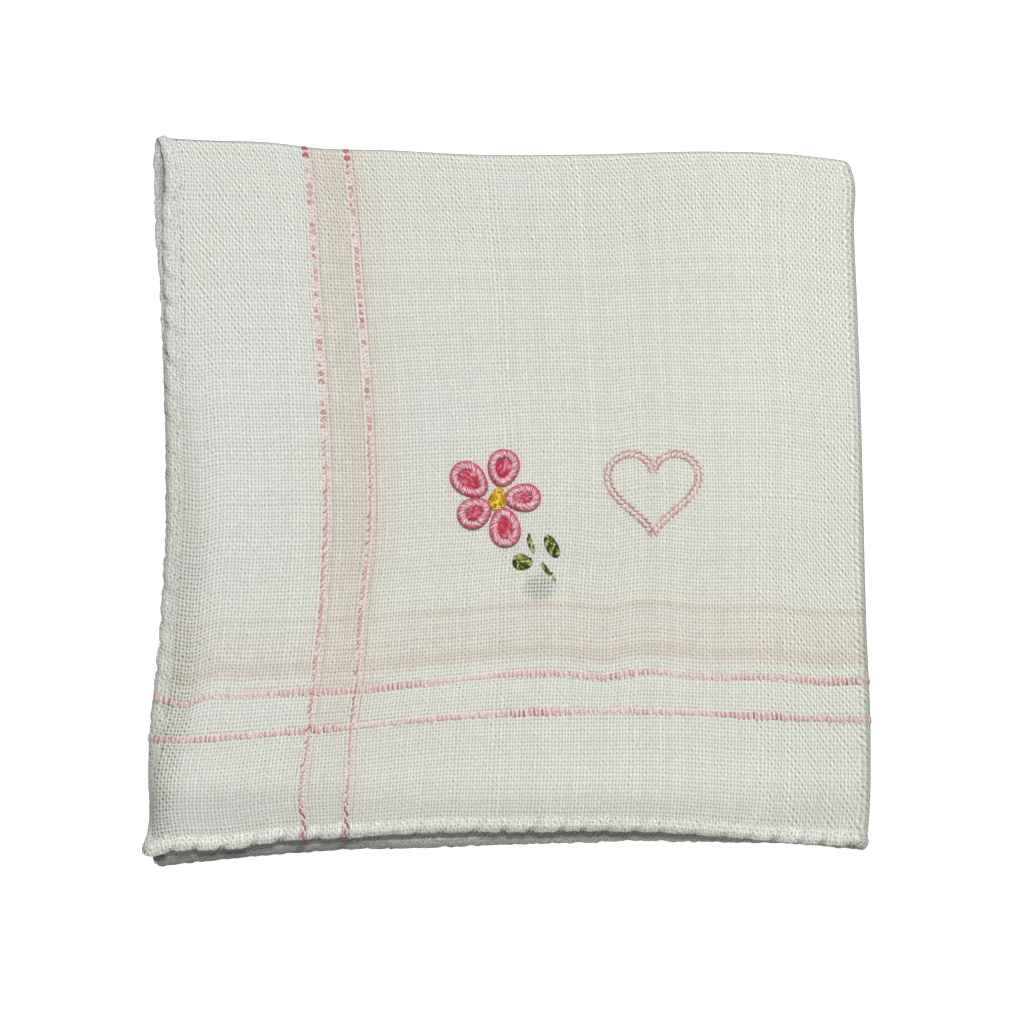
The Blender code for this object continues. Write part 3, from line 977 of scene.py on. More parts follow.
def hem_place(along, angle, grow=1.0):
    """A place on the rolled hem.

    It is a reach times cos(angle) from the path towards the cloth, and a height times sin(angle)
    out from its face. Inside the path it follows the cloth's curve. The height is full over the
    path and falls to the cloth's own half thickness where the roll runs out into the cloth. At a
    corner of the cloth the roll is lumpier, by a bell curve of the distance to the corner.
    """
    along, angle, grow = np.broadcast_arrays(along, angle, grow)
    u, v, out_u, out_v = route_place(along)
    middle = cloth_point(u, v, 0.0)
    inward = unit(middle - cloth_point(u + 0.3 * out_u, v + 0.3 * out_v, 0.0))
    from_corner = np.minimum(u, CLOTH_WIDTH - u) + np.minimum(
        v, CLOTH_LENGTH - v) - 2 * HEM_INSET
    lump = 1.0 + CORNER_LUMP * np.exp(-(from_corner / CORNER_LUMP_WIDTH) ** 2)
    reach = np.where(np.cos(angle) > 0, HEM_INNER_REACH, HEM_OUTER_REACH * lump)
    across = grow * reach * np.cos(angle)
    crown = np.exp(-((across + CROWN_OFFSET) / CROWN_WIDTH) ** 2)
    height = SHEET_THICKNESS / 2 + (HEM_HALF_HEIGHT * lump - SHEET_THICKNESS / 2) * crown
    on_cloth = np.maximum(across, 0.0)
    place = cloth_point(u - out_u * on_cloth, v - out_v * on_cloth, grow * height * np.sin(angle))
    place = place + np.minimum(across, 0.0)[..., None] * inward
    place[..., 2] = np.maximum(place[..., 2], FLOOR_GAP)
    return place


print("a place on the hem's crown:", hem_place(20.0, np.pi / 2).round(2), "mm")


# %% Grooves, and painted shade and light, of the rolled hem
HEM_STEP = 0.42
HEM_SIDES = 16
GROOVE_DEPTH, GROOVE_WIDTH = 0.40, 0.55


def wander(along):
    """How far each groove is moved along the hem: two sines of the length, in millimetres."""
    return 0.7 * np.sin(along / 5.3) + 0.4 * np.sin(along / 2.1)


def groove(along, angle):
    """Depth of the slanting grooves, one a stitch: a bell curve of the distance to it.

    Slow sums of sines make each groove a little deeper or shallower and move it along. It is
    deepest at the outer side, where the thread is pulled tight, and on the top layer.
    """
    u, v, _, _ = route_place(along)
    on_top_layer = (u < CLOTH_WIDTH / 2) & (v < CLOTH_LENGTH / 2)
    along = along + wander(along)
    off = along + WHIP_SLANT * np.cos(angle)
    off = off - whip_pitch * np.round(off / whip_pitch)
    depth = (0.7 + 0.3 * np.sin(along / 7.7)) * (0.25 + 0.75 * ease(0.2 - np.cos(angle)))
    return depth * np.where(on_top_layer, 1.0, 0.4) * np.exp(-(off / GROOVE_WIDTH) ** 2)


# Painted shade on the lowest hem's rim, by its distance from the free corner at the front left.
RIM_PAINTED_SHADE = ((22.0, 40.0, 60.0, 95.0), (1.0, 0.72, 0.66, 0.25))
# Painted shade on the second hem further in, by its distance past the back fold.
SECOND_PAINTED_SHADE = ((-4.0, 0.0, 4.0, 8.0, 12.0, 20.0), (0.0, 0.2, 0.5, 0.52, 0.28, 0.0))
# How far in the painted shade on the left hem's outer side reaches, as a cosine round the
# roll, by its v.
LEFT_SHADE = ((8.0, 35.0, 52.0, 78.0, 95.0), (-1.3, -0.8, -0.2, -0.2, -0.65))
# Painted shade on the second hem's rim and on the left hem's outer side.
SECOND_RIM_PAINTED_SHADE, LEFT_RIM_PAINTED_SHADE = 0.20, 0.40
NEAR_HEM, HEM_EASE = 9.0, 3.0


def hem_painted_shading(u, v, angle):
    """Painted shade and light on the hem, from -1 for lighter to 1 for greyer; plain cloth is 0.

    Painted shade greys a lower layer's hem and the left hem's outer side. Painted light makes
    the lowest hem lighter further in.
    """
    below = ease((u - CLOTH_WIDTH / 2) / HEM_EASE) * ease((NEAR_HEM - v) / HEM_EASE)
    at_left = ease((NEAR_HEM - u) / HEM_EASE)
    second = SECOND_RIM_PAINTED_SHADE * ease((v - CLOTH_LENGTH / 2) / HEM_EASE) * at_left
    further_in = at_left * ease((np.cos(angle) + 0.55) / 0.4) * np.interp(
        v - FRONT_RUN - BACK_BEND, *SECOND_PAINTED_SHADE)
    outer_side = LEFT_RIM_PAINTED_SHADE * at_left * ease((CLOTH_LENGTH / 2 - v) / HEM_EASE) * ease(
        (np.interp(v, *LEFT_SHADE) - np.cos(angle)) / 0.3)
    rim = ease((0.55 - np.cos(angle)) / 0.5) * np.interp(CLOTH_WIDTH - u, *RIM_PAINTED_SHADE)
    inside = ease((np.cos(angle) - 0.15) / 0.35)
    low = (below * (rim - inside) + second) * ease(0.8 - np.sin(angle))
    return low + further_in + outer_side


print("grooves wander by up to", round(float(wander(np.arange(0.0, 200.0, 0.5)).max()), 2), "mm")


# %% The rolled hem
def rolled_hem_part():
    """A closed tube along the hem whose size dips at each stitch and swells between them.

    Its flat places go on from the cloth's, so that the weave runs over it unbroken. The first
    value is 0.5 on plain cloth, less where painted light makes the hem lighter and more where
    painted shade makes it greyer.
    """
    along = np.arange(0.0, route_length, HEM_STEP)[:, None]
    angle = whole_turn(HEM_SIDES)
    rough = scatter((len(along), HEM_SIDES), 5) - 0.5
    rough = rough + np.roll(rough, 1, axis=0)
    uneven = 0.05 * np.sin(along / 3.1 + 2 * np.sin(along / 11.0)) + 0.13 * rough
    pulled = groove(along, angle)
    points = hem_place(along, angle, 1.03 + uneven - GROOVE_DEPTH * pulled)
    u, v, out_u, out_v = route_place(along)
    across = np.where(np.cos(angle) > 0, HEM_INNER_REACH, HEM_OUTER_REACH) * np.cos(angle)
    flat = np.stack([u - out_u * across, v - out_v * across], axis=-1)
    # The first value carries the hem's painted shade and painted light.
    values = np.stack([0.5 + 0.5 * hem_painted_shading(u, v, angle), pulled], axis=-1).reshape(-1, 2)
    quads = grid_quads(len(along), HEM_SIDES, True, True)
    return (points.reshape(-1, 3), quads, NO_TRIANGLES, values), flat.reshape(-1, 2)


# The side lines cross the lowest hem this much nearer to its free corner.
LOWER_CROSSING = 2.0
# Painted light and painted shade for the hem.
HEM_PAINTED_LIGHT = (1.22, 1.22, 1.27, 1.0)
HEM_PAINTED_SHADE = (0.41, 0.40, 0.43, 1.0)
CURLED_HEM_PAINTED_SHADE = (0.84, 0.83, 0.81, 1.0)
FRONT_HEM_PAINTED_LIGHT = (1.10, 1.10, 1.10, 1.0)
ROSY_CROSSING = (0.66, 0.42, 0.46, 1.0)
GROOVE_SHADE = (0.45, 0.46, 0.44, 1.0)


def hem_material():
    """The same cotton, rolled: its threads lean and are pulled about by the stitches.

    It is rosy where the pink side lines cross it. It has painted shade and light: by its first
    value, beside the curled hem, along the front, near the right fold and in its grooves.
    """
    material, tree, shader = new_material("rolled_white_cotton", 0.85, sheen=0.15)
    places, u, v, bent_u, bent_v = flat_places(tree)
    tangle = add_node(tree, "ShaderNodeTexNoise", places, None, 1.1, 1.0)[1]
    tangle_u, tangle_v, _ = add_node(tree, "ShaderNodeSeparateXYZ", tangle)
    bent_u = sum_of(tree, "MULTIPLY_ADD", tangle_u, 0.9, bent_u)
    bent_v = sum_of(tree, "MULTIPLY_ADD", tangle_v, 0.9, bent_v)
    colour, height = woven_cotton(tree, bent_u, bent_v, 0.55)
    colour = warm_tint_and_painted_light(tree, colour, u, v, tangle_v)
    # Painted light and painted shade, by the hem's first value.
    greyer = add_node(tree, "ShaderNodeAttribute", attribute_name="tint")[2]
    colour = tinted(tree, band(tree, greyer, 0.5, 0.0), colour, HEM_PAINTED_LIGHT)
    colour = tinted(tree, band(tree, greyer, 0.5, 1.0), colour, HEM_PAINTED_SHADE)
    # Painted shade on the hem beside the curl.
    colour = tinted(tree, curl_painted_shade_share(tree, u, v, 0.7), colour, CURLED_HEM_PAINTED_SHADE)
    # Painted light on the top layer's front hem.
    front = all_of(tree, [band(tree, v, 6.0, 3.0), band(tree, u, CLOTH_WIDTH / 2, 116.0)])
    colour = tinted(tree, front, colour, FRONT_HEM_PAINTED_LIGHT)
    from_side = mirrored(tree, u, CLOTH_WIDTH + LOWER_CROSSING)
    crossed = [stripe(tree, from_side, line, 0.45, 0.55) for line in SIDE_LINES]
    rosy = all_of(tree, [largest(tree, crossed), band(tree, v, 3.0, 1.2), 0.6])
    colour = tinted(tree, rosy, colour, ROSY_CROSSING)
    pulled = add_node(tree, "ShaderNodeAttribute", attribute_name="crest")[2]
    colour = tinted(tree, sum_of(tree, "MULTIPLY", pulled, 0.8), colour, GROOVE_SHADE)
    tree.links.new(colour, shader.inputs["Base Color"])
    add_bump(tree, shader, height, 0.9, 0.00010)
    return material


hem_part, hem_flat = rolled_hem_part()
rolled_hem = make_piece("rolled_hem", hem_part, hem_material())
keep_flat_places(rolled_hem, hem_flat, hem_part[1])

# %% [markdown]
# Thread
#
# Stitches are short tubes. Hair or curves could stand for single fibres, but a thread this fine
# shows only its tone and its twist. One helper makes the material of each colour: it mixes dark,
# middle and light tones by the stitch's own tint, darkens the grooves between wraps, and adds
# fine fibres as bump. The tint and the groove are attributes that the thread helper wrote.

# %% Thread material
WRAP_SHADE = (0.42, 0.36, 0.36, 1.0)


def thread_material(name, dark, middle, light, groove_share):
    """Stranded thread whose tint goes from dark through middle to light."""
    material, tree, shader = new_material(name, 0.6, sheen=0.3)
    tint = add_node(tree, "ShaderNodeAttribute", attribute_name="tint")[2]
    crest = add_node(tree, "ShaderNodeAttribute", attribute_name="crest")[2]
    where = add_node(tree, "ShaderNodeTexCoord")[3]
    fibre = add_node(tree, "ShaderNodeTexNoise", where, None, 6500.0, 2.0)[0]
    mixed = sum_of(tree, "MULTIPLY_ADD", fibre, 0.5, sum_of(tree, "SUBTRACT", tint, 0.25))
    lower = blend_colours(tree, band(tree, mixed, 0.0, 0.5), dark, middle)
    colour = blend_colours(tree, band(tree, mixed, 0.5, 1.0), lower, light)
    deep = sum_of(tree, "MULTIPLY", band(tree, crest, 0.75, 0.1), groove_share)
    colour = tinted(tree, deep, colour, WRAP_SHADE)
    tree.links.new(colour, shader.inputs["Base Color"])
    add_bump(tree, shader, fibre, 0.5, 0.00005)
    return material


white_thread = thread_material("white_thread", (0.55, 0.58, 0.52, 1.0), (0.72, 0.74, 0.69, 1.0),
                               (0.86, 0.87, 0.84, 1.0), 0.5)
line_thread = thread_material("pale_pink_thread", (0.46, 0.11, 0.13, 1.0),
                              (0.79, 0.41, 0.38, 1.0), (0.87, 0.76, 0.725, 1.0), 0.6)
petal_thread = thread_material("rose_thread", (0.50, 0.03, 0.06, 1.0), (0.64, 0.17, 0.23, 1.0),
                               (0.96, 0.72, 0.77, 1.0), 0.75)
leaf_thread = thread_material("olive_thread", (0.03, 0.04, 0.003, 1.0),
                              (0.15, 0.18, 0.015, 1.0), (0.55, 0.55, 0.20, 1.0), 0.7)
eye_thread = thread_material("yellow_thread", (0.26, 0.13, 0.01, 1.0), (0.70, 0.43, 0.015, 1.0),
                             (0.92, 0.72, 0.06, 1.0), 0.7)
print("threads:", [each.name for each in (white_thread, line_thread, petal_thread, leaf_thread,
                                          eye_thread)])

# %% Whip stitches over the hem, each in its groove
WHIP_RADIUS = 0.10
WHIP_SINK = 0.86
whip_angle = np.linspace(0.5, 1.2, 8)[None, :] * np.pi
unmoved = np.arange(whip_count)[:, None] * whip_pitch - WHIP_SLANT * np.cos(whip_angle)
whip_along = unmoved
for _ in range(3):
    whip_along = unmoved - wander(whip_along)
whip_paths = hem_place(whip_along, whip_angle, WHIP_SINK)
whip_outside = unit(whip_paths - hem_place(whip_along, whip_angle, 0.2))
whip = make_piece("hem_whip_stitches", thread(whip_paths, whip_outside, WHIP_RADIUS, 5, tint=0.5),
                  white_thread)

# %% [markdown]
# The pink stitched lines
#
# Two lines run beside each hem. They are ladders of tiny satin stitches over a pale band: bars
# that stand upright in the lines along the front, and small loops and slanting dashes in the
# lines along the side. Each stitch is given in flat places and a height over the sheet, so the
# lines follow the weave, go over the folds, and bow as the cloth does.


# %% Stitches on the cloth
def over_edge(distance):
    """How far the hem's crown stands over the cloth, at a distance from the cloth's edge."""
    across = distance - HEM_INSET + CROWN_OFFSET
    width = np.where(across > 0.0, 1.5, CROWN_WIDTH)
    return (HEM_HALF_HEIGHT - SHEET_THICKNESS / 2) * np.exp(-(across / width) ** 2)


def stitches_on_cloth(u, v, lift, radius, tint, sides=6, closed=False):
    """Flattish thread along paths of flat places, arched over the sheet by lift at each step."""
    edge = np.minimum(np.minimum(u, CLOTH_WIDTH - u), np.minimum(v, CLOTH_LENGTH - v))
    paths = cloth_point(u, v, SHEET_THICKNESS / 2 + lift + over_edge(edge))
    return thread(paths, outward(u, v), radius, sides, closed, tint=tint, crest=0.9, flat=0.6)


def arch(share, rise):
    """Height of an arched stitch, a half circle's height over its share from -1 to 1."""
    return rise * np.sqrt(np.clip(1.0 - share ** 2, 0.0, 1.0))


def patchy(places, seed):
    """A slow wave from 0 to 1 that makes some stretches of a line bolder than others."""
    return 0.5 + 0.5 * np.sin(places / 4.1 + seed) * np.sin(places / 11.0 + 1.3 * seed)


def bar_line(line, start, stop, pitch, seed):
    """A row of upright bars along u, with paler ones between, beside the front hem."""
    count = int((stop - start) / pitch)
    chance, other = chances(count, seed, 2)
    middle = start + pitch * (np.arange(count)[:, None] + 0.4 * (chance - 0.5))
    ends = ease(1.1 - middle / 9.0) + 0.6 * ease((middle - 104.0) / 12.0)
    bold = np.clip(np.maximum(patchy(middle, seed), ends), 0.0, 1.0)
    share = across_stitch(6)
    lean = 0.03 + 0.16 * other * patchy(middle, seed + 2.0)
    reach = 0.34 + 0.30 * bold + 0.16 * (other - 0.5)
    v = line + 0.30 * (chance - 0.5) + reach * share
    tint = 0.80 - 0.50 * bold + 0.42 * (other - 0.5)
    thick = (0.12 + 0.04 * bold)[..., None]
    bars = stitches_on_cloth(middle - lean * share, v, arch(share, 0.14), thick, tint[..., None])
    pale_u = middle + 0.5 * pitch + 0.10 * (other - 0.5) + 0.05 * share * (chance - 0.5)
    pale_v = line + 0.35 * (other - 0.5) + (0.25 + 0.25 * chance) * share
    pales = stitches_on_cloth(pale_u, pale_v, arch(share, 0.13), 0.13,
                              (1.0 + 0.2 * (chance - 0.5))[..., None])
    return [bars, pales]


def dash_line(line, start, stop, pitch, seed):
    """A row of slanting dashes along v, with pale knots beside them, near the side hem."""
    count = int((stop - start) / pitch)
    chance, other, third = chances(count, seed)
    middle = start + pitch * (np.arange(count)[:, None] + 0.5 * (chance - 0.5))
    share = across_stitch(6)
    u = line - 0.14 + 0.35 * (other - 0.5) + (0.04 + 0.26 * third) * share
    v = middle + (0.26 + 0.34 * chance) * share
    tint = 0.60 + 0.5 * (other - 0.5) - 0.22 * patchy(middle, seed)
    dashes = stitches_on_cloth(u, v, arch(share, 0.15), (0.13 + 0.06 * third)[..., None],
                               tint[..., None])
    turn = whole_turn(7)
    knot_u = line + 0.36 + 0.3 * (chance - 0.5) + (0.10 + 0.12 * other) * np.cos(turn)
    knot_v = middle + 0.5 * pitch * (1.0 + third) + (0.12 + 0.14 * third) * np.sin(turn)
    knots = stitches_on_cloth(knot_u, knot_v, 0.05, 0.13, (1.0 + 0.3 * (other - 0.5))[..., None],
                              closed=True)
    return [dashes, knots]


def loop_line(line, start, stop, pitch, seed):
    """A row of uneven loops along v, some rose and some pale, near the side hem."""
    count = int((stop - start) / pitch)
    chance, other, third = chances(count, seed)
    middle = start + pitch * (np.arange(count)[:, None] + 0.4 * (chance - 0.5))
    turn = whole_turn(10)
    wide, tall = 0.14 + 0.26 * other, 0.16 + 0.24 * third
    lean = 0.5 * (chance - 0.5) * np.sin(turn)
    u = line + 0.3 * (third - 0.5) + wide * (np.cos(turn) + lean)
    v = middle + tall * np.sin(turn)
    tint = np.where(chance > 0.70, 0.95, 0.24 + 0.44 * chance)
    loops = stitches_on_cloth(u, v, 0.05 + 0.03 * np.cos(turn), (0.13 + 0.05 * third)[..., None],
                              tint[..., None], closed=True)
    share = across_stitch(5)
    pale_u = line + 0.4 * (other - 0.5) + (0.16 + 0.22 * third) * share
    pale_v = middle + 0.5 * pitch + 0.20 * share * (other - 0.5)
    pales = stitches_on_cloth(pale_u, pale_v, arch(share, 0.12), 0.17,
                              (1.05 + 0.1 * (other - 0.5))[..., None])
    return [loops, pales]


def fold_knots(line, seed):
    """Two small dark knots, closed loops without a hole, on a side line at the back fold."""
    chance = scatter(2, seed)[:, None]
    turn = whole_turn(10)
    u = line + 0.2 * (chance - 0.5) + (0.34 + 0.12 * chance) * np.cos(turn)
    v = FRONT_RUN + np.array([[0.55], [-0.55]]) + (0.14 + 0.10 * chance) * np.sin(turn)
    return stitches_on_cloth(u, v, 0.10, 0.24, (0.02 + 0.25 * chance)[..., None], 7, closed=True)


def over_hem(line, far, seed):
    """Two strands twisted round each other that carry a side line over the rolled hem.

    Each is a cosine of the distance along v sideways and a sine of it in height.
    """
    chance = scatter(2, seed)[:, None]
    share = across_stitch(26, 0.0)
    v = 6.2 - (6.0 + 0.15 * chance) * share
    turn = 2 * np.pi * v / 2.1 + np.pi * np.arange(2)[:, None]
    u = line + 0.16 * np.sin(v / 1.1) + 0.25 * np.cos(turn)
    lift = 0.10 + 0.10 * np.sin(turn)
    u = CLOTH_WIDTH - u if far else u
    return stitches_on_cloth(u, v, lift, 0.16, np.array([0.10, 0.95])[:, None, None])


# %% The four lines in one piece
DASHES_START, DASHES_END, LOOPS_START, UNDER_START = 6.4, 70.0, 70.6, 3.4
BAR_PITCHES, DASH_PITCH, LOOP_PITCH, UNDER_PITCH = (0.78, 0.80), 1.05, 1.30, 1.12
front_end = CLOTH_WIDTH - 0.6
side_end = FRONT_RUN + 0.6 * BACK_BEND
line_parts = []
for line, pitch, seed in zip(FRONT_LINES, BAR_PITCHES, (11, 17)):
    line_parts += bar_line(line, 0.5, front_end, pitch, seed)
for line, seed in zip(SIDE_LINES, (23, 31)):
    line_parts += dash_line(line, DASHES_START, DASHES_END, DASH_PITCH, seed)
    line_parts += loop_line(line, LOOPS_START, side_end, LOOP_PITCH, seed + 4)
    line_parts += dash_line(CLOTH_WIDTH - line, UNDER_START, side_end, UNDER_PITCH, seed + 8)
    line_parts += [over_hem(line, False, seed), over_hem(line, True, seed + 1)]
    line_parts.append(fold_knots(line, seed + 2))
lines = make_piece("pink_line_stitches", join_parts(line_parts), line_thread)

# %% [markdown]
# The flower
#
# Each petal is a cast-on loop: thread wound closely round itself, laid as an oval on the cloth,
# with pale flecks along its inner edge and dark rose satin stitches in its middle. The loop is
# a tube round an egg-shaped path whose radius dips between the wraps. The yellow eye is a drop
# packed with short threads.


# %% Helpers for the embroidery
def on_top(x, y, lift):
    """Places on the top layer at a height over its face."""
    x, y, lift = np.broadcast_arrays(x, y, lift)
    top = SOLID_THICKNESS / 2 + 3 * LAYER_PITCH * stack_height(x, y) + SHEET_THICKNESS / 2
    return np.stack([x, y, top + lift], axis=-1)


def turned(along, across, angle, middle):
    """Places measured along and across a direction, turned to it and moved to a middle."""
    turn = np.radians(angle)
    return (middle[0] + along * np.cos(turn) - across * np.sin(turn),
            middle[1] + along * np.sin(turn) + across * np.cos(turn))


def wound_loop(middle, length, width, angle, radius, lift, wrap, tint, egg=0.12, sides=12,
               seed=1, uneven=0.45):
    """A closed egg-shaped loop of wound thread.

    The path is length cos(t) / 2 along, and width sin(t)(1 + egg cos(t)) / 2 across. The radius
    dips by a fifth between wraps, where the cosine of half their count of turns is zero. The
    wraps slant, as their count also grows round the tube. The inner side is lighter than the
    outer, and each wrap has its own shade.
    """
    around = np.pi * (length + width) / 2
    wraps = max(int(around / wrap), 6)
    steps = wraps * 6
    t = 2 * np.pi * np.arange(steps) / steps
    x, y = turned((length / 2) * np.cos(t), (width / 2) * np.sin(t) * (1 + egg * np.cos(t)),
                  angle, middle)
    paths = on_top(x, y, lift)[None]
    turn = 2 * np.pi * np.arange(sides) / sides
    turns = wraps * t[:, None] + 5 * turn[None, :]
    ridge = np.abs(np.cos(0.5 * turns))[None]
    shade = scatter(wraps, seed)[np.round(turns / (2 * np.pi)).astype(int) % wraps] - 0.5
    side_tint = tint + uneven * shade - 0.12 * np.cos(turn)[None, :]
    return thread(paths, STRAIGHT_UP, radius * (0.82 + 0.18 * ridge ** 0.6), sides, closed=True,
                  tint=side_tint[None], crest=ridge, flat=0.75)


FLECK_RADIUS = 0.085


def flecks_over(middle, length, width, angle, radius, lift, egg, inner, count, seed):
    """Short pale threads that lie across a wound loop.

    They start at inner times the ring's own radius from its middle line, where -1 is its inner
    edge, and run outwards.
    """
    chance, other, third = chances(count, seed)
    share = across_stitch(6, 0.0)
    off = inner * radius + (0.45 * chance + (0.45 + 0.6 * other) * share) * radius
    t = 2 * np.pi * (np.arange(count)[:, None] + 0.9 * (third - 0.5)) / count
    t = t + (0.12 + 0.14 * chance) * share
    along = (length / 2 + off) * np.cos(t)
    across = (width / 2 + off) * np.sin(t) * (1 + egg * np.cos(t))
    x, y = turned(along, across, angle, middle)
    rise = 0.75 * np.sqrt(np.clip(radius ** 2 - off ** 2, 0.0, None))
    paths = on_top(x, y, lift + rise + 0.01)
    thick = (FLECK_RADIUS * tapered(share, 0.5))[..., None]
    return thread(paths, STRAIGHT_UP, thick, 5, tint=(0.85 + 0.5 * (other - 0.4))[..., None],
                  crest=0.9)


def straight_threads(starts, ends, radius, bow, lift, tint, steps=8):
    """Tapered threads between pairs of places, arched upwards by bow."""
    share = across_stitch(steps, 0.0)
    starts, ends = np.asarray(starts, float), np.asarray(ends, float)
    x = starts[:, :1] * (1 - share) + ends[:, :1] * share
    y = starts[:, 1:] * (1 - share) + ends[:, 1:] * share
    paths = on_top(x, y, lift + bow * 4 * share * (1 - share))
    thick = (radius * tapered(share, 0.45))[..., None]
    return thread(paths, STRAIGHT_UP, thick, 7, tint=tint, crest=0.9)


print("a place on top of the cloth:", on_top(0.0, 0.0, 0.0).round(2))

# %% The petals
PETALS = (
    # middle, length, width, direction
    ((-0.36, 5.70), 6.5, 5.5, 80.0),
    ((-6.10, 3.68), 7.2, 5.6, 140.0),
    ((2.92, 0.66), 6.3, 4.8, 2.0),
    ((-5.22, -1.90), 6.2, 5.3, 210.0),
    ((-0.12, -4.40), 6.9, 5.4, 278.0),
)
PETAL_RING = 0.80
PETAL_LIFT = 0.34
PETAL_EGG = 0.20
# Two rows of flecks: how far in they start, how high, how many, and their seed.
FLECK_ROWS = ((-0.98, 0.0, 46, 100), (-0.60, 0.02, 38, 200))


def petal(middle, length, width, angle, seed):
    """One petal: a wound loop, pale flecks most on its inner half, dark satin in its middle."""
    ring_length, ring_width = length - 2 * PETAL_RING, width - 2 * PETAL_RING
    outer = wound_loop(middle, ring_length, ring_width, angle, PETAL_RING, PETAL_LIFT, 0.30,
                       0.46, egg=PETAL_EGG, seed=seed)
    flecks = [flecks_over(middle, ring_length, ring_width, angle, PETAL_RING, PETAL_LIFT + over,
                          PETAL_EGG, inner, count, seed + first)
              for inner, over, count, first in FLECK_ROWS]
    across = np.linspace(-1.0, 1.0, 8)[:, None] * (width - 3.1) / 2
    half = (length - 2.9) / 2 * np.sqrt(1.0 - (across / ((width - 2.7) / 2)) ** 2)
    starts = np.concatenate(turned(-half, across, angle, middle), axis=1)
    ends = np.concatenate(turned(half, across, angle, middle), axis=1)
    shade = 0.80 * scatter((8, 8, 1), seed + 300) ** 2
    satin = straight_threads(starts, ends, 0.25, 0.16, 0.42, shade)
    return [outer, *flecks, satin]


petal_parts = [part for number, shape in enumerate(PETALS) for part in petal(*shape, number)]
# The top petal also has a small pale loop in it, and the lowest has two pale threads.
petal_parts.append(wound_loop((-0.08, 5.62), 1.6, 0.55, 88.0, 0.11, 0.40, 0.3, 0.95, sides=6))
petal_parts.append(straight_threads([(-0.05, -4.6), (0.2, -4.5)], [(0.75, -6.4), (0.95, -6.2)],
                                    0.13, 0.12, 0.42, 0.95))
petals = make_piece("flower_petals", join_parts(petal_parts), petal_thread)

# %% The yellow eye
EYE_MIDDLE = (-1.30, 0.42)
EYE_HALF_LENGTH = 1.85
EYE_HALF_WIDTH = 1.52


def eye_part():
    """Rows of short threads packed into a drop that is narrower at its top, and arched."""
    rows = 11
    y = np.linspace(-0.9, 0.9, rows)
    half = EYE_HALF_WIDTH * np.sqrt(1 - y ** 2) * (1 - 0.24 * y)
    side = 0.12 * y
    starts = np.stack([EYE_MIDDLE[0] + side - half, EYE_MIDDLE[1] + EYE_HALF_LENGTH * y], axis=1)
    ends = np.stack([EYE_MIDDLE[0] + side + half, EYE_MIDDLE[1] + EYE_HALF_LENGTH * y + 0.12],
                    axis=1)
    shade = 0.58 + 1.5 * (scatter((rows, 14, 1), 61) - 0.5)
    bow = (0.62 * half / EYE_HALF_WIDTH)[:, None]
    over = straight_threads(starts, ends, 0.25, bow, 0.22, shade, steps=14)
    columns = np.linspace(-0.8, 0.8, 6)
    low = EYE_MIDDLE[1] - EYE_HALF_LENGTH * 0.9 * np.sqrt(1 - columns ** 2)
    high = EYE_MIDDLE[1] + EYE_HALF_LENGTH * 0.95 * np.sqrt(1 - columns ** 2)
    x = EYE_MIDDLE[0] + EYE_HALF_WIDTH * 0.8 * columns
    under = straight_threads(np.stack([x, low], axis=1), np.stack([x + 0.1, high], axis=1),
                             0.22, 0.56, 0.28, 0.25, steps=10)
    return join_parts([over, under])


eye = make_piece("flower_eye", eye_part(), eye_thread)

# %% [markdown]
# Leaves and stem
#
# Four small green groups stand for leaves and stem: two loops filled with mottled threads, and
# two spindles. They could be flat leaf shapes, but wound loops and tapered threads, like the
# flower's, catch the light as sewing does.

# %% Leaves
def mottled_threads(starts, ends, radius, bow, lift, seed):
    """Straight threads whose shade changes at each step, as when strands of two greens mix."""
    shade = 0.5 + 1.3 * (scatter((len(starts), 8, 1), seed) - 0.5)
    return straight_threads(starts, ends, radius, bow, lift, shade)


leaf_parts = [
    wound_loop((7.86, -7.58), 3.25, 1.15, -62.0, 0.48, 0.30, 0.36, 0.45, egg=0.0, sides=9,
               seed=71, uneven=2.2),
    mottled_threads([(7.75, -6.4), (7.15, -6.5), (7.45, -6.5)],
                    [(8.9, -8.5), (8.2, -8.9), (8.6, -8.8)], 0.24, 0.22, 0.46, 73),
    wound_loop((2.85, -10.25), 2.5, 1.75, 172.0, 0.48, 0.32, 0.36, 0.45, egg=0.25, sides=9,
               seed=72, uneven=2.2),
    mottled_threads([(1.5, -9.75), (1.6, -10.2), (1.8, -10.65)],
                    [(4.5, -9.65), (4.6, -10.15), (4.4, -10.6)], 0.22, 0.16, 0.42, 74),
    mottled_threads([(3.93, -5.4), (3.70, -6.0), (4.05, -5.9), (4.20, -6.3)],
                    [(4.78, -8.8), (4.40, -8.2), (4.72, -8.0), (4.86, -8.4)], 0.28, 0.24, 0.10, 75),
    mottled_threads([(5.95, -10.45), (6.25, -10.4), (7.8, -12.0)],
                    [(7.5, -12.5), (7.7, -12.4), (8.5, -13.5)], 0.23, 0.18, 0.14, 76),
]
leaves = make_piece("leaf_stitches", join_parts(leaf_parts), leaf_thread)

# %% [markdown]
# A small stitched heart
#
# Beside the flower is a plain outline motif in the same pale pink, drawn with two rows of short
# dashes. A heart is a common one on such cloths. Its curve is worked out in full, and the
# stitches are set along it at even distances.


# %% The heart
def heart_curve(width, middle):
    """An even heart: x is sin cubed, y a sum of cosines of one to four turns."""
    t = np.linspace(0.0, 2 * np.pi, 721)
    x = np.sin(t) ** 3
    y = (13 * np.cos(t) - 5 * np.cos(2 * t) - 2 * np.cos(3 * t) - np.cos(4 * t)) / 16
    return middle[0] + width / 2 * x, middle[1] + width / 2 * (y + 0.1)


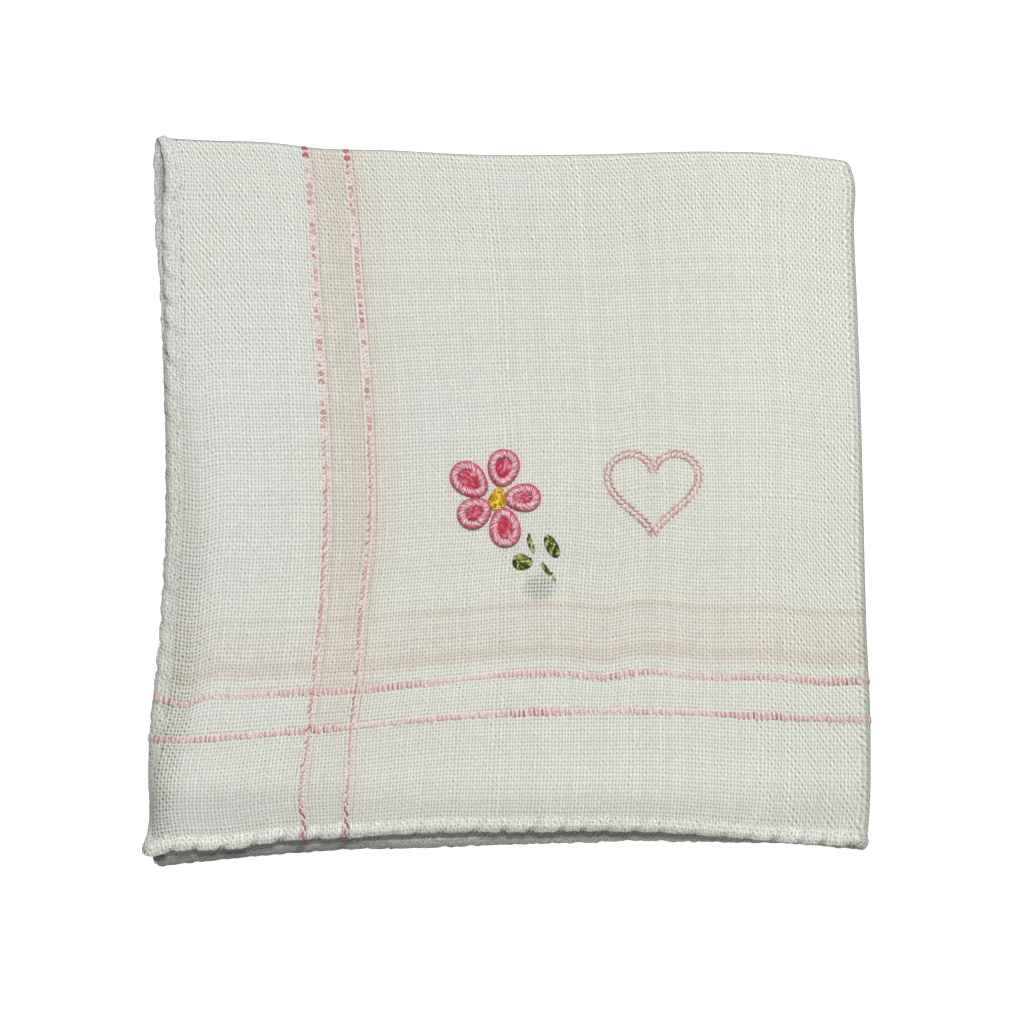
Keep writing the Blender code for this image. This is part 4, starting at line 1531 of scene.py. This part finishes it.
def dashes_along(x, y, offset, pitch, length, radius, seed):
    """Short dashes at even distances along a curve, set off to one side of it."""
    run = np.concatenate([[0.0], np.cumsum(np.hypot(np.diff(x), np.diff(y)))])
    count = int(run[-1] / pitch)
    share = across_stitch(6)
    at = (np.arange(count)[:, None] + 0.5) * run[-1] / count + length / 2 * share
    chance = scatter(count, seed)[:, None]
    slope_x, slope_y = np.gradient(x, run), np.gradient(y, run)
    side = offset + 0.22 * share
    place_x = np.interp(at, run, x) - side * np.interp(at, run, slope_y)
    place_y = np.interp(at, run, y) + side * np.interp(at, run, slope_x)
    paths = on_top(place_x, place_y, 0.03 + 0.16 * (1.0 - share ** 2))
    return thread(paths, STRAIGHT_UP, radius, 5, tint=(0.45 + 0.5 * (chance - 0.4))[..., None],
                  crest=0.9)


HEART_WIDTH, HEART_MIDDLE = 15.5, (25.0, 1.6)
HEART_DASH, HEART_THREAD_RADIUS = 0.95, 0.16
heart_x, heart_y = heart_curve(HEART_WIDTH, HEART_MIDDLE)
heart = make_piece("stitched_heart", join_parts([
    dashes_along(heart_x, heart_y, offset, HEART_DASH, HEART_DASH, HEART_THREAD_RADIUS, seed)
    for offset, seed in ((0.45, 41), (-0.45, 43))]), line_thread)

# %% [markdown]
# Floor, light and camera
#
# The photograph is a plain cut-out on white, taken from straight above. The floor is a lit white
# sheet. A broad lamp high beyond the back fold lights the weave, which leaves the step under the
# front hem in shade. There, painted shade greys the lower hem's rim and painted light lifts its
# inner side. The sky fills the rest. A long lens far above keeps the layers in line.

# %% Floor and sky
FLOOR_REACH = 3
floor_material, floor_tree, floor_shader = new_material("white_floor", 0.9)
floor_shader.inputs["Base Color"].default_value = (0.3, 0.3, 0.3, 1.0)
floor_shader.inputs["Emission Color"].default_value = (1.0, 1.0, 1.0, 1.0)
floor_shader.inputs["Emission Strength"].default_value = 0.95
floor_mesh = bpy.data.meshes.new("floor")
floor_mesh.from_pydata([(FLOOR_REACH * x, FLOOR_REACH * y, 0) for x, y in (
    (-1, -1), (1, -1), (1, 1), (-1, 1))], [], [(0, 1, 2, 3)])
floor_mesh.materials.append(floor_material)
floor = bpy.data.objects.new("floor", floor_mesh)
floor.visible_diffuse = False
bpy.context.scene.collection.objects.link(floor)

world = bpy.data.worlds.new("studio")
world.use_nodes = True
world.node_tree.nodes["Background"].inputs["Color"].default_value = (0.97, 0.98, 1.0, 1.0)
world.node_tree.nodes["Background"].inputs["Strength"].default_value = 0.315
bpy.context.scene.world = world
print("floor", 2 * FLOOR_REACH, "m wide under", world.name)

# %% Lamp and camera
LAMP_PLACE = (0.10, 0.66, 1.70)
lamp_x, lamp_y, lamp_z = LAMP_PLACE
light = bpy.data.lights.new("back_lamp", "AREA")
light.size = 0.45
light.energy = 24.6
lamp = bpy.data.objects.new("back_lamp", light)
lamp.location = LAMP_PLACE
lamp.rotation_euler = (float(np.arctan2(float(np.hypot(lamp_x, lamp_y)), lamp_z)), 0.0,
                       float(np.arctan2(-lamp_x, lamp_y)) + np.pi)
bpy.context.scene.collection.objects.link(lamp)

camera_data = bpy.data.cameras.new("camera")
camera_data.sensor_width = 36.0
camera_data.lens = 300.0
camera = bpy.data.objects.new("camera", camera_data)
camera.location = (0.0011, -0.00178, 1.452)
bpy.context.scene.collection.objects.link(camera)
bpy.context.scene.camera = camera
bpy.context.scene.view_settings.view_transform = "Standard"
print("camera", tuple(round(each, 4) for each in camera.location))
